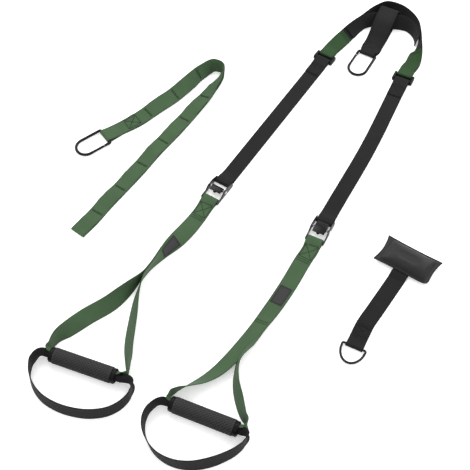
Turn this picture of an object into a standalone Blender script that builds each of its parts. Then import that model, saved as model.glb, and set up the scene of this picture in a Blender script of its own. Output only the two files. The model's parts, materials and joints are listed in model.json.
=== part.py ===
"""A suspension trainer with its extension strap and door anchor, laid out flat on a floor.

Lengths are in metres, +Z is up, and the origin is at the bottom centre of the whole kit.
Each leg has a frame of its own: x across the webbing, y up the leg, with its origin on the
floor under the buckle's top bar. Straps are bands: a track of centres and side vectors,
laid on a grid and thickened.
"""
import math

import bmesh
import bpy
import numpy as np
from mathutils import Matrix, Vector

# Webbing and clearances
WEB_WIDTH = 0.038
WEB_THICKNESS = 0.002
WEB_GAP = 0.0003
CLEARANCE = 0.0003
ANCHOR_WEB_WIDTH = 0.050
ANCHOR_EYE_WIDTH = 0.0385
OVERRUN = 0.010

# Layout on the floor: where the legs, the equalizer and the loose accessories lie
LEFT_SLIDER_PLACE = (-0.0738, 0.5885)
RIGHT_SLIDER_PLACE = (0.1307, 0.6241)
LEFT_LEG_TURN = -2.6
RIGHT_LEG_TURN = 3.5
EQUALIZER_PLACE = (0.030, 0.640)
CARABINER_PLACE = (0.0155, 0.6545)
EXTENSION_PLACE = (-0.4135, 0.090)
EXTENSION_TURN = -24.8
DOOR_PAD_PLACE = (0.3690, 0.127)
DOOR_PAD_TURN = -3.5
DOOR_RING_PLACE = (0.3600, -0.1225)
DOOR_RING_TURN = 3.5

# Legs: from the buckle's top bar to the slider, and the free travel of the buckle
LEFT_LEG_LENGTH = 0.479
RIGHT_LEG_LENGTH = 0.496
RIGHT_LEG_BOW = 0.006
TAB_LENGTH = 0.096
TAB_LOOSENESS = 0.0011
TAB_LAYER_STEP = 0.0029
TWIST_STEPS = 4
SEWN_FOLD = 0.058
SLIDER_RAMP = 0.024
LEG_END_STEP = 0.010
SEAM_GAP = 0.0009
EYE_TAPER = 0.018

# Equalizer: the band over the top and the lining under it, in shares of its height
EQUALIZER_HEIGHT = 0.190
LINING_LIFT = 0.0026
BAND_SHARES = (
    (-0.500, 0.079, -71), (-0.452, 0.274, -50), (-0.398, 0.500, -14), (-0.322, 0.808, 0),
    (-0.222, 0.965, 0), (-0.020, 1.004, 0), (0.168, 0.945, 0), (0.316, 0.837, 0),
    (0.421, 0.674, -2), (0.483, 0.500, -18), (0.523, 0.330, -53), (0.538, 0.190, -80),
)
LINING_SHARES = (
    (-0.452, 0.274, -50, 0.0, 1.0), (-0.412, 0.410, -28, 0.0, 1.2),
    (-0.350, 0.545, -20, 0.3, 0.6), (-0.262, 0.640, -34, 1.0, 0.0),
    (-0.130, 0.700, -42, 1.0, 0.0), (0.000, 0.745, -42, 1.0, 0.0),
    (0.089, 0.770, -34, 1.0, 0.0), (0.189, 0.774, -16, 0.3, 0.0),
    (0.295, 0.730, -10, 0.0, 0.0), (0.385, 0.640, -8, 0.0, 0.0),
    (0.428, 0.560, -12, 0.0, 0.0),
)

# Anchor strap: a loop round the lining, in shares of its length, with heights in metres
ANCHOR_LENGTH = 0.160
ANCHOR_LOOP_RADIUS = 0.0172
ANCHOR_DRIFT = 0.009
ANCHOR_CREST = 0.0354
ANCHOR_SEWN = 0.0042
ANCHOR_FLOOR_SHARES = (0.12, 0.3, 0.5, 0.7, 0.85, 1.0)
ANCHOR_RISE_SHARES = ((0.85, 1.0), (0.70, 0.92), (0.55, 0.60), (0.42, 0.27))
ANCHOR_SEWN_SHARES = (0.30, 0.16, 0.06)
ANCHOR_HOOD_SHARE = 0.8

# Cam buckle
BUCKLE_SPAN = 0.052
BUCKLE_NOSE = 0.008
BUCKLE_TAIL = 0.008
PLATE_THICKNESS = 0.0022
PLATE_SIDE_GAP = 0.0012
TOP_BAR_RADIUS = 0.0035
BOTTOM_BAR_RADIUS = 0.003
PLATE_HEIGHT = 0.0185
PLATE_LOW_HEIGHT = 0.0095
PLATE_FOOT = 0.0004
PLATE_NOSE_SHARE = 0.62
PLATE_CREST_SHARES = (0.5, 1.35)
PLATE_TAIL_SHARE = 0.80
PIVOT_DROP = 0.023
PIVOT_HEIGHT = 0.0105
PIVOT_RADIUS = 0.0020
PIVOT_HEAD_RADIUS = 0.0038
PIVOT_HEAD = 0.0014
CAM_WIDTH = 0.0285
CAM_HUB_RADIUS = 0.0048
CAM_LIPS = {"left": 0.0125, "right": 0.0155}
CAM_BITE_GAP = 0.0004
CAM_LIP_THICKNESS = 0.0026
CAM_TEETH = 6
CAM_TOOTH_DEPTH = 0.0009
SPRING_WIRE = 0.0005
SPRING_RADIUS = 0.0031
SPRING_TURNS = 2.5
SPRING_SPACING = 0.0015
SPRING_LEG = 0.0085

# Slider and pull tab
SLIDER_WIDTH = 0.053
SLIDER_LENGTH = 0.026
SLIDER_BASE = 0.0012
SLIDER_BAR_RADIUS = 0.0016
SLIDER_BAR_OFFSET = 0.0078
SLIDER_SIDE_GAP = 0.0009
SLIDER_CORNER = 0.0022

# Handles: the drop from the buckle's bottom bar to the grip, and the strap routes in its shares
HANDLE_DROP = 0.500
GRIP_LENGTH = 0.146
GRIP_SHARE = 0.292
GRIP_RADIUS = 0.0175
GRIP_CORE_RADIUS = 0.0150
GRIP_BORE_RADIUS = 0.0130
GRIP_ROUND = 0.0022
GRIP_CORE_LIP = 0.0015
COLLAR_LENGTH = 0.007
COLLAR_RADIUS = 0.0165
HANDLE_CURL_RADIUS = 0.0114
LOOP_CURL_RADIUS = 0.0080
CURL_SEGMENTS = 5
GRIP_SIDES = 24
LEFT_GRIP_SHARES = (0.035, -1.010)
RIGHT_GRIP_SHARES = (-0.047, -0.992)
LEFT_GRIP_TURN = 12.2
RIGHT_GRIP_TURN = 4.0

# Strap knots: across, up, lean in degrees and layer; foot loop knots have no layer
LEFT_OUTER_SHARES = (
    (0.001, -0.045, 90, 1), (0.006, -0.124, 88, 1), (0.007, -0.266, 54, 1),
    (-0.003, -0.377, 12, 1), (-0.009, -0.477, -10, 1), (-0.010, -0.525, -8, 1),
    (-0.021, -0.590, 14, 0), (-0.049, -0.699, 50, 0), (-0.098, -0.812, 60, 0),
    (-0.124, -0.905, 40, 0), (-0.139, -0.968, 14, 0), (-0.134, -1.006, 3, 0),
)
LEFT_INNER_SHARES = (
    (0.001, -0.045, 90, -1), (0.006, -0.124, 88, -1), (0.007, -0.266, 54, -1),
    (-0.003, -0.377, 12, -1), (-0.009, -0.477, -10, -1), (-0.008, -0.525, -12, -1),
    (0.014, -0.590, -18, 0), (0.080, -0.725, -34, 0), (0.140, -0.835, -34, 0),
    (0.192, -0.908, -20, 0), (0.214, -0.944, -5, 0),
)
RIGHT_OUTER_SHARES = (
    (0.001, -0.045, -90, 1), (-0.004, -0.124, -90, 1), (-0.009, -0.276, -88, 1),
    (-0.020, -0.414, -80, 1), (-0.033, -0.520, -68, 1), (-0.050, -0.612, -64, 0.6),
    (-0.074, -0.721, -66, 0), (-0.094, -0.785, -60, 0), (-0.124, -0.845, -48, 0),
    (-0.166, -0.900, -28, 0), (-0.203, -0.945, -8, 0), (-0.213, -0.972, 0, 0),
)
RIGHT_INNER_SHARES = (
    (0.001, -0.045, -90, -1), (-0.004, -0.124, -90, -1), (-0.009, -0.276, -88, -1),
    (-0.020, -0.414, -80, -1), (-0.033, -0.520, -68, -1), (-0.034, -0.612, -50, -1),
    (-0.030, -0.727, -14, 0), (-0.004, -0.795, -18, 0), (0.047, -0.866, -24, 0),
    (0.094, -0.920, -14, 0), (0.120, -0.944, -4, 0),
)
LEFT_LOOP_SHARES = (
    (-0.142, -1.067, 0), (-0.158, -1.097, 2), (-0.138, -1.145, -2), (-0.087, -1.191, -5),
    (-0.022, -1.216, -6), (0.054, -1.217, -6), (0.122, -1.201, -6), (0.191, -1.168, -6),
    (0.246, -1.118, -4), (0.273, -1.060, -2), (0.273, -1.008, 0), (0.248, -0.975, 0),
)
RIGHT_LOOP_SHARES = (
    (-0.231, -1.026, 0), (-0.258, -1.054, 2), (-0.260, -1.098, 6), (-0.243, -1.141, 7),
    (-0.200, -1.186, 6), (-0.149, -1.214, 3), (-0.079, -1.222, -2), (-0.008, -1.203, -7),
    (0.049, -1.165, -10), (0.098, -1.115, -8), (0.134, -1.062, -4), (0.147, -1.022, 0),
    (0.138, -0.993, 0),
)

# Care label sewn round each handle strap
LABEL_THICKNESS = 0.0006
LABEL_INSET = 0.0045
LABEL_START_SHARE = 0.285
LABEL_END_SHARE = 0.385

# Carabiners
ROD_RADIUS = 0.0034
CARABINER_WIDTH = 0.054
CARABINER_LENGTH = 0.082
CARABINER_CORNER = 0.0040
GATE_RADIUS = 0.0030
GATE_START = 0.013
GATE_LENGTH = 0.036
GATE_PIN_RADIUS = 0.0011
GATE_TONGUE = 0.0024
GATE_PIVOT = 0.0055
GATE_END_GAP = 0.0007

# Extension strap: two layers sewn together at even steps, in shares of its reach
EXTENSION_REACH = 0.520
STITCH_SPACING = 0.085
PUFF_HEIGHT = 0.0028
EXTENSION_SHARES = (
    (0.028, 0.072, -90), (0.066, 0.144, -86), (0.111, 0.273, -74), (0.147, 0.375, -62),
    (0.168, 0.462, -46), (0.192, 0.560, -26), (0.222, 0.622, -6), (0.262, 0.626, -2),
    (0.286, 0.566, -34), (0.280, 0.462, -66), (0.267, 0.325, -84), (0.255, 0.183, -90),
    (0.241, 0.035, -88), (0.235, -0.078, -90), (0.226, -0.198, -88), (0.214, -0.315, -90),
    (0.207, -0.430, -90), (0.196, -0.510, -90),
)

# Door anchor: a soft pad, its strap and a ring
PAD_LENGTH = 0.134
PAD_WIDTH = 0.072
PAD_CROWN = 0.0150
PAD_BASE_CROWN = 0.0085
PAD_RIM = 0.0012
PAD_HEM_SHARE = 0.085
PAD_EDGE_SHARE = 0.864
PAD_DRAW_SHARES = (0.085, 0.050)
PAD_FLAT = 0.0005
DOOR_STRAP_WIDTH = 0.0385
DOOR_STRAP_LENGTH = 0.2162
DOOR_STRAP_DRIFT = 0.021
DOOR_STRAP_RISE = 0.016
DOOR_FOLD = 0.062
DOOR_SETTLE_SHARE = 0.4
DOOR_BACK_SHARES = (0.25, 0.45)
RING_WIRE = 0.0026
RING_WIDTH = 0.058
RING_DEPTH = 0.042
RING_CORNER = 0.003

# Sizes that follow from the ones above
LAYER_STEP = WEB_THICKNESS + WEB_GAP
FLOOR_CENTRE = WEB_THICKNESS / 2
TOP_WRAP_RADIUS = TOP_BAR_RADIUS + CLEARANCE + WEB_THICKNESS / 2
TOP_BAR_HEIGHT = FLOOR_CENTRE + TOP_WRAP_RADIUS
EYE_RADIUS = BOTTOM_BAR_RADIUS + CLEARANCE + WEB_THICKNESS / 2
BOTTOM_BAR_HEIGHT = FLOOR_CENTRE + EYE_RADIUS
SLIDER_RUN_HEIGHT = SLIDER_BASE + CLEARANCE + WEB_THICKNESS / 2
SLIDER_WRAP_RADIUS = SLIDER_BAR_RADIUS + CLEARANCE + WEB_THICKNESS / 2
SLIDER_BAR_HEIGHT = SLIDER_RUN_HEIGHT + LAYER_STEP + SLIDER_WRAP_RADIUS
SLIDER_HEIGHT = SLIDER_BAR_HEIGHT + SLIDER_BAR_RADIUS + CLEARANCE
ROD_WRAP_RADIUS = ROD_RADIUS + CLEARANCE + WEB_THICKNESS / 2
ROD_HEIGHT = FLOOR_CENTRE + ROD_WRAP_RADIUS
RING_WRAP_RADIUS = RING_WIRE + CLEARANCE + WEB_THICKNESS / 2
RING_HEIGHT = FLOOR_CENTRE + RING_WRAP_RADIUS
PLATE_INNER = WEB_WIDTH / 2 + PLATE_SIDE_GAP
PLATE_OUTER = PLATE_INNER + PLATE_THICKNESS
HANDLES = {
    "left": (LEFT_OUTER_SHARES, LEFT_INNER_SHARES, LEFT_LOOP_SHARES, LEFT_GRIP_SHARES,
             LEFT_GRIP_TURN),
    "right": (RIGHT_OUTER_SHARES, RIGHT_INNER_SHARES, RIGHT_LOOP_SHARES, RIGHT_GRIP_SHARES,
              RIGHT_GRIP_TURN),
}

UP = np.array((0.0, 0.0, 1.0))
ACROSS = (1.0, 0.0, 0.0)
AROUND = 360.0

PALETTE = {
    "black_webbing": ((0.020, 0.020, 0.022), 0.0, 0.85),
    "green_webbing": ((0.075, 0.135, 0.065), 0.0, 0.85),
    "black_steel": ((0.030, 0.030, 0.033), 0.9, 0.35),
    "dark_chrome": ((0.170, 0.170, 0.180), 1.0, 0.22),
    "black_plastic": ((0.018, 0.018, 0.020), 0.0, 0.42),
    "grip_foam": ((0.045, 0.045, 0.050), 0.0, 0.90),
    "pad_fabric": ((0.018, 0.018, 0.020), 0.0, 0.78),
    "label_cloth": ((0.060, 0.062, 0.064), 0.0, 0.88),
    "spring_steel": ((0.420, 0.420, 0.430), 1.0, 0.28),
}


def new_collection(name):
    group = bpy.data.collections.new(name)
    bpy.context.scene.collection.children.link(group)
    return group


def clear_scene():
    for old in list(bpy.data.objects):
        bpy.data.objects.remove(old, do_unlink=True)


clear_scene()
PARTS = new_collection("suspension_trainer")
CUTTERS = new_collection("cutters")
KIT = bpy.data.objects.new("kit_origin", None)
PARTS.objects.link(KIT)


def paint(obj, look):
    """Give the object a material of its own."""
    colour, metallic, roughness = PALETTE[look]
    material = bpy.data.materials.new(obj.name)
    material.use_nodes = True
    shader = material.node_tree.nodes["Principled BSDF"]
    shader.inputs["Base Color"].default_value = (*colour, 1)
    shader.inputs["Metallic"].default_value = metallic
    shader.inputs["Roughness"].default_value = roughness
    obj.data.materials.clear()
    obj.data.materials.append(material)


def add_part(name, data, look):
    obj = bpy.data.objects.new(name, data)
    PARTS.objects.link(obj)
    paint(obj, look)
    return obj


def add_cutter(name, data):
    obj = bpy.data.objects.new(name, data)
    CUTTERS.objects.link(obj)
    obj.parent = KIT
    obj.hide_render = True
    obj.display_type = "WIRE"
    return obj


def add_pivot(name, frame, parent=KIT):
    """An empty on a joint's axis; frame is its place in the kit's own coordinates."""
    empty = bpy.data.objects.new(name, None)
    PARTS.objects.link(empty)
    empty.parent = parent
    empty.matrix_basis = pivot_frame(parent).inverted() @ frame
    return empty


def pivot_frame(empty):
    frame = empty.matrix_basis.copy()
    while empty.parent:
        empty = empty.parent
        frame = empty.matrix_basis @ frame
    return frame


def carry(pivot, *pieces):
    """Hang pieces on a pivot without moving them."""
    for piece in pieces:
        frame = piece.matrix_basis.copy()
        piece.parent = pivot
        piece.matrix_basis = pivot_frame(pivot).inverted() @ frame


def floor_frame(place, turn=0.0):
    return Matrix.Translation((*place, 0)) @ Matrix.Rotation(math.radians(turn), 4, "Z")


def smooth_shade(mesh, angle=40):
    mesh.shade_smooth()
    mesh.set_sharp_from_angle(angle=math.radians(angle))


def combine(obj, tool, operation):
    """Join or cut with the tool object by an exact Boolean."""
    change = obj.modifiers.new(tool.name, "BOOLEAN")
    change.operation = operation
    change.object = tool


def box_mesh(name, low, high):
    """A box between two corners."""
    shape = bmesh.new()
    bmesh.ops.create_cube(shape, size=1)
    low, high = Vector(low), Vector(high)
    place = Matrix.Translation((low + high) / 2) @ Matrix.Diagonal((*(high - low), 1))
    bmesh.ops.transform(shape, matrix=place, verts=shape.verts)
    return finish_mesh(name, shape)


def rod_mesh(name, radius, start, end, sides=16):
    """A round bar between two points."""
    shape = bmesh.new()
    start, end = Vector(start), Vector(end)
    aim = (end - start).to_track_quat("Z", "Y").to_matrix().to_4x4()
    place = Matrix.Translation((start + end) / 2) @ aim
    bmesh.ops.create_cone(shape, cap_ends=True, segments=sides, radius1=radius, radius2=radius,
                          depth=(end - start).length, matrix=place)
    return finish_mesh(name, shape)


def finish_mesh(name, shape):
    mesh = bpy.data.meshes.new(name)
    shape.to_mesh(mesh)
    shape.free()
    smooth_shade(mesh)
    return mesh


def curve_to_mesh(curve, name):
    """Read a curve as a closed mesh and drop the curve."""
    holder = bpy.data.objects.new(name, curve)
    CUTTERS.objects.link(holder)
    view = bpy.context.evaluated_depsgraph_get()
    mesh = bpy.data.meshes.new_from_object(holder.evaluated_get(view))
    mesh.name = name
    bpy.data.objects.remove(holder)
    bpy.data.curves.remove(curve)
    shape = bmesh.new()
    shape.from_mesh(mesh)
    bmesh.ops.remove_doubles(shape, verts=shape.verts, dist=CLEARANCE / 30)
    shape.to_mesh(mesh)
    shape.free()
    smooth_shade(mesh)
    return mesh


def wire_mesh(name, points, radius, closed=False, resolution=2):
    """A round wire through the points."""
    curve = bpy.data.curves.new(name, "CURVE")
    curve.dimensions = "3D"
    curve.bevel_depth = radius
    curve.bevel_resolution = resolution
    curve.use_fill_caps = True
    line = curve.splines.new("POLY")
    line.points.add(len(points) - 1)
    for knot, point in zip(line.points, points):
        knot.co = (*point, 1)
    line.use_cyclic_u = closed
    return curve_to_mesh(curve, name)


def plate_mesh(name, outline, thickness, frame):
    """A flat plate: the outline lies in the frame's x and y, its thickness along z."""
    curve = bpy.data.curves.new(name, "CURVE")
    curve.dimensions = "2D"
    curve.fill_mode = "BOTH"
    curve.extrude = thickness / 2
    line = curve.splines.new("POLY")
    line.points.add(len(outline) - 1)
    for knot, (x, y) in zip(line.points, outline):
        knot.co = (x, y, 0, 1)
    line.use_cyclic_u = True
    mesh = curve_to_mesh(curve, name)
    mesh.transform(frame)
    return mesh


def rounded(corners, radius, steps=2):
    """The outline with each corner turned into an arc of the given radius."""
    outline = []
    for index, corner in enumerate(corners):
        corner = Vector(corner)
        before = (Vector(corners[index - 1]) - corner)
        after = (Vector(corners[(index + 1) % len(corners)]) - corner)
        half = before.angle(after) / 2
        reach = min(radius / math.tan(half), before.length / 2, after.length / 2)
        centre = corner + (before.normalized() + after.normalized()).normalized() * (
            reach * math.tan(half) / math.sin(half))
        first = corner + before.normalized() * reach - centre
        last = corner + after.normalized() * reach - centre
        for step in range(steps + 1):
            spoke = first.lerp(last, step / steps).normalized() * first.length
            outline.append(tuple(centre + spoke))
    return outline


def turned_part(name, profile, look, frame, steps=GRIP_SIDES, ring=False):
    """A turned piece about the frame's z axis; the profile runs down its outer side."""
    mesh = bpy.data.meshes.new(name)
    edges = [(index, index + 1) for index in range(len(profile) - 1)]
    if ring:
        edges.append((len(profile) - 1, 0))
    mesh.from_pydata([(radius, 0, height) for radius, height in profile], edges, [])
    obj = add_part(name, mesh, look)
    obj.matrix_basis = frame
    spin = obj.modifiers.new("turn", "SCREW")
    spin.steps = steps
    spin.render_steps = steps
    spin.use_merge_vertices = True
    spin.merge_threshold = CLEARANCE / 30
    spin.use_normal_calculate = True
    spin.use_smooth_shade = True
    return obj


def smooth_track(knots, per_span, axes):
    """Cubic rows through the knots, whose first columns are a place in that many axes."""
    knots = np.array(knots, float)
    pace = np.linalg.norm(np.diff(knots[:, :axes], axis=0), axis=1)
    slopes = np.gradient(knots, np.concatenate(([0], np.cumsum(pace))), axis=0)
    rows = []
    for index, gap in enumerate(pace):
        for share in np.arange(per_span) / per_span:
            rest = 1 - share
            rows.append(
                knots[index] * rest * rest * (1 + 2 * share)
                + knots[index + 1] * share * share * (3 - 2 * share)
                + slopes[index] * gap * share * rest * rest
                - slopes[index + 1] * gap * share * share * rest)
    rows.append(knots[-1])
    return np.array(rows)


def floor_rows(knots, per_span=3, width=WEB_WIDTH):
    """Rows of a band on the floor, from knots of x, y, lean, lift, offset and curl.

    The lean tips the band's top edge to the right of its travel, by 90 degrees when flat.
    """
    track = smooth_track(knots, per_span, 2)
    curls = [knot[-1] for knot in knots]
    track[:, -1] = np.clip(track[:, -1], min(curls), max(curls))
    heading = np.gradient(track[:, :2], axis=0)
    rows = []
    for (x, y, lean, lift, offset, curl), (head_x, head_y) in zip(track, heading):
        along = np.array((head_x, head_y, 0)) / math.hypot(head_x, head_y)
        tilt = math.radians(lean)
        side = np.cross(along, UP) * math.sin(tilt) + UP * math.cos(tilt)
        rest = width / 2 * abs(math.cos(tilt)) + FLOOR_CENTRE * abs(math.sin(tilt))
        centre = np.array((x, y, rest + lift)) + np.cross(along, side) * offset
        rows.append((centre, side, math.radians(curl), width))
    return rows


def spine_rows(knots, side, per_span=3):
    """Rows of a band that bends up and down, from knots of x, y, z and width."""
    track = smooth_track(knots, per_span, 3)
    track[:, 2] = np.maximum(track[:, 2], min(knot[2] for knot in knots))
    return [(row[:3], np.array(side, float), 0.0, row[3]) for row in track]


def wrap_rows(centre, radius, start, end, side, width=WEB_WIDTH, steps=7):
    """Rows round a bar along x: the angle turns from +y to +z."""
    rows = []
    for angle in np.radians(np.linspace(start, end, steps)):
        spoke = np.array((0, math.cos(angle), math.sin(angle))) * radius
        rows.append((np.array(centre, float) + spoke, np.array(side, float), 0.0, width))
    return rows


def band(name, rows, look, frame=None, segments=1, ring=False, thickness=WEB_THICKNESS):
    """Lay a grid along the rows and thicken it; a ring's last row meets its first."""
    centres = np.array([row[0] for row in rows])
    sides = np.array([row[1] for row in rows])
    curls = np.array([row[2] for row in rows])
    for index in range(1, len(rows)):
        if sides[index] @ sides[index - 1] < 0:
            sides[index] = -sides[index]
            curls[index] = -curls[index]
    along = np.gradient(centres, axis=0)
    if ring:
        along[0] = along[-1] = centres[1] - centres[-2]
    along /= np.linalg.norm(along, axis=1)[:, None]
    sides -= along * np.sum(sides * along, axis=1)[:, None]
    sides /= np.linalg.norm(sides, axis=1)[:, None]
    normals = np.cross(along, sides)
    shape = bmesh.new()
    bmesh.ops.create_grid(shape, x_segments=segments, y_segments=len(rows) - 1, size=1)
    for vert in shape.verts:
        row = round((vert.co.y + 1) / 2 * (len(rows) - 1))
        reach = vert.co.x / 2 * rows[row][3]
        bend = curls[row] / rows[row][3]
        shift = sides[row] * reach
        if abs(curls[row]) > math.radians(1):
            shift = (sides[row] * math.sin(reach * bend)
                     + normals[row] * (1 - math.cos(reach * bend))) / bend
        vert.co = Vector(centres[row] + shift)
    if ring:
        bmesh.ops.remove_doubles(shape, verts=shape.verts, dist=CLEARANCE / 3)
    if frame:
        bmesh.ops.transform(shape, matrix=frame, verts=shape.verts)
    obj = add_part(name, finish_mesh(name, shape), look)
    shell = obj.modifiers.new("webbing", "SOLIDIFY")
    shell.thickness = thickness
    shell.offset = 0
    return obj


def leg_frame(place, turn, length):
    """A leg's frame at the buckle's top bar, its length below the slider's place."""
    return floor_frame(place, turn) @ Matrix.Translation((0, -length, 0))


LEGS = {
    "left": (leg_frame(LEFT_SLIDER_PLACE, LEFT_LEG_TURN, LEFT_LEG_LENGTH), LEFT_LEG_LENGTH, 0.0),
    "right": (leg_frame(RIGHT_SLIDER_PLACE, RIGHT_LEG_TURN, RIGHT_LEG_LENGTH), RIGHT_LEG_LENGTH,
              RIGHT_LEG_BOW),
}


def leg_knots(length, bow, heights):
    """Knots along a leg from places up the leg and heights; the leg bows to one side."""
    knots = []
    for place, height in heights:
        share = min(max(place / length, 0.0), 1.0)
        knots.append((bow * math.sin(math.pi * share) ** 2, place, height, WEB_WIDTH))
    return knots


def straight_places(first, last, count):
    """Evenly spread places between two ends, both left out."""
    return [first + (last - first) * step / (count + 1) for step in range(1, count + 1)]


def leg_strap(side):
    """The load-bearing run, from under the top bar to just past the slider."""
    frame, length, bow = LEGS[side]
    ramp_start = length - SLIDER_LENGTH / 2 - SLIDER_RAMP
    heights = [(0.0, FLOOR_CENTRE), (OVERRUN, FLOOR_CENTRE)]
    heights += [(place, FLOOR_CENTRE) for place in straight_places(OVERRUN, ramp_start, 5)]
    heights += [(ramp_start, FLOOR_CENTRE), (length - SLIDER_LENGTH / 2, SLIDER_RUN_HEIGHT)]
    heights += [(length + SLIDER_LENGTH / 2, SLIDER_RUN_HEIGHT)]
    heights += [(length + SLIDER_LENGTH / 2 + LEG_END_STEP - SEAM_GAP, SLIDER_RUN_HEIGHT)]
    rows = spine_rows(leg_knots(length, bow, heights), ACROSS, per_span=2)
    return band(f"leg_strap_{side}", rows, "black_webbing", frame)


def return_strap(side):
    """The run that comes back over the top bar and is sewn round the slider's lower bar."""
    frame, length, bow = LEGS[side]
    gap_angle = math.degrees(WEB_GAP / TOP_WRAP_RADIUS)
    rows = wrap_rows((0, 0, TOP_BAR_HEIGHT), TOP_WRAP_RADIUS, -AROUND / 4 - gap_angle,
                     -AROUND * 3 / 4, ACROSS, steps=10)
    over = TOP_BAR_HEIGHT + TOP_WRAP_RADIUS
    resting = FLOOR_CENTRE + LAYER_STEP
    bar_place = length - SLIDER_BAR_OFFSET
    ramp_start = length - SLIDER_LENGTH / 2 - SLIDER_RAMP
    fold_end = bar_place - SEWN_FOLD
    heights = [(0.0, over), (OVERRUN, over - LAYER_STEP / 4), (OVERRUN * 2.5, resting + LAYER_STEP)]
    heights += [(OVERRUN * 4, resting), (OVERRUN * 5, resting)]
    heights += [(place, resting) for place in straight_places(OVERRUN * 5, fold_end, 4)]
    heights += [(fold_end, resting), (ramp_start, resting)]
    under = SLIDER_BAR_HEIGHT - SLIDER_WRAP_RADIUS
    heights += [(length - SLIDER_LENGTH / 2 - OVERRUN / 2, under), (bar_place, under)]
    rows += spine_rows(leg_knots(length, bow, heights), ACROSS, per_span=2)[1:]
    rows += wrap_rows((0, bar_place, SLIDER_BAR_HEIGHT), SLIDER_WRAP_RADIUS, -AROUND / 4,
                      AROUND / 4, ACROSS, steps=8)[1:]
    fold = resting + LAYER_STEP
    heights = [(bar_place, SLIDER_BAR_HEIGHT + SLIDER_WRAP_RADIUS)]
    heights += [(length - SLIDER_LENGTH / 2 - SLIDER_RAMP / 2, fold + LAYER_STEP)]
    heights += [(ramp_start - OVERRUN / 2, fold), (fold_end, fold)]
    rows += spine_rows(leg_knots(length, bow, heights), ACROSS, per_span=3)[1:]
    return band(f"return_strap_{side}", rows, "black_webbing", frame)


def equalizer_knots(offset=0.0):
    """The band from the left leg over the arch to the right leg."""
    ends = []
    for frame, length, _ in LEGS.values():
        start = length + SLIDER_LENGTH / 2 + LEG_END_STEP
        lift = SLIDER_RUN_HEIGHT - FLOOR_CENTRE
        for place, share in ((start, 1.0), (start + LEG_END_STEP, 0.4)):
            spot = frame @ Vector((0, place, 0))
            ends.append((spot.x, spot.y, -AROUND / 4, lift * share, offset, 0.0))
    middle = []
    for x, y, lean in BAND_SHARES:
        middle.append((EQUALIZER_PLACE[0] + x * EQUALIZER_HEIGHT,
                       EQUALIZER_PLACE[1] + y * EQUALIZER_HEIGHT, lean, 0.0, offset, 0.0))
    return ends[:2] + middle + [ends[3], ends[2]]


def equalizer_band():
    rows = floor_rows(equalizer_knots(), TWIST_STEPS)
    return band("equalizer_band", rows, "black_webbing", segments=2)


def equalizer_lining():
    """The second layer, which the anchor strap loops round."""
    knots = []
    for x, y, lean, lift, layer in LINING_SHARES:
        knots.append((EQUALIZER_PLACE[0] + x * EQUALIZER_HEIGHT,
                      EQUALIZER_PLACE[1] + y * EQUALIZER_HEIGHT, lean, LINING_LIFT * lift,
                      (WEB_THICKNESS + TAB_LOOSENESS) * layer, 0.0))
    return band("equalizer_lining", floor_rows(knots, TWIST_STEPS), "black_webbing", segments=2)


def anchor_strap():
    """A sewn loop: round the lining at its top and round the carabiner's bar at its foot."""
    foot = floor_frame(CARABINER_PLACE)
    loop_top = ANCHOR_LENGTH - ANCHOR_LOOP_RADIUS
    top_side = (math.cos(ANCHOR_DRIFT / ANCHOR_LENGTH), math.sin(ANCHOR_DRIFT / ANCHOR_LENGTH), 0)

    def spot(share, height, width=ANCHOR_WEB_WIDTH):
        return (-ANCHOR_DRIFT * share ** 2, loop_top * share, height, width)

    lower = [spot(0.0, FLOOR_CENTRE, ANCHOR_EYE_WIDTH)]
    lower += [spot(share, FLOOR_CENTRE) for share in ANCHOR_FLOOR_SHARES]
    loop_centre = (-ANCHOR_DRIFT, loop_top, FLOOR_CENTRE + ANCHOR_LOOP_RADIUS)
    turn = wrap_rows(loop_centre, ANCHOR_LOOP_RADIUS, -AROUND / 4, AROUND / 4, top_side,
                     width=ANCHOR_WEB_WIDTH, steps=8)
    upper = [spot(1.0, FLOOR_CENTRE + ANCHOR_LOOP_RADIUS * 2)]
    upper += [spot(share, ANCHOR_CREST * rise) for share, rise in ANCHOR_RISE_SHARES]
    seam, taper, hood = ANCHOR_SEWN_SHARES
    upper += [spot(seam, ANCHOR_SEWN), spot(taper, ANCHOR_SEWN + LAYER_STEP / 2)]
    upper += [spot(hood, ROD_HEIGHT + ROD_WRAP_RADIUS * ANCHOR_HOOD_SHARE,
                   ANCHOR_EYE_WIDTH + WEB_THICKNESS)]
    upper += [spot(0.0, ROD_HEIGHT + ROD_WRAP_RADIUS, ANCHOR_EYE_WIDTH)]
    rows = spine_rows(lower, ACROSS)[:-1] + turn[:-1] + spine_rows(upper, ACROSS)[:-1]
    gap_angle = math.degrees(WEB_GAP / ROD_WRAP_RADIUS)
    rows += wrap_rows((0, 0, ROD_HEIGHT), ROD_WRAP_RADIUS, AROUND / 4, AROUND * 3 / 4 - gap_angle,
                      ACROSS, width=ANCHOR_EYE_WIDTH, steps=10)
    return band("anchor_strap", rows, "black_webbing", foot)


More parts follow.
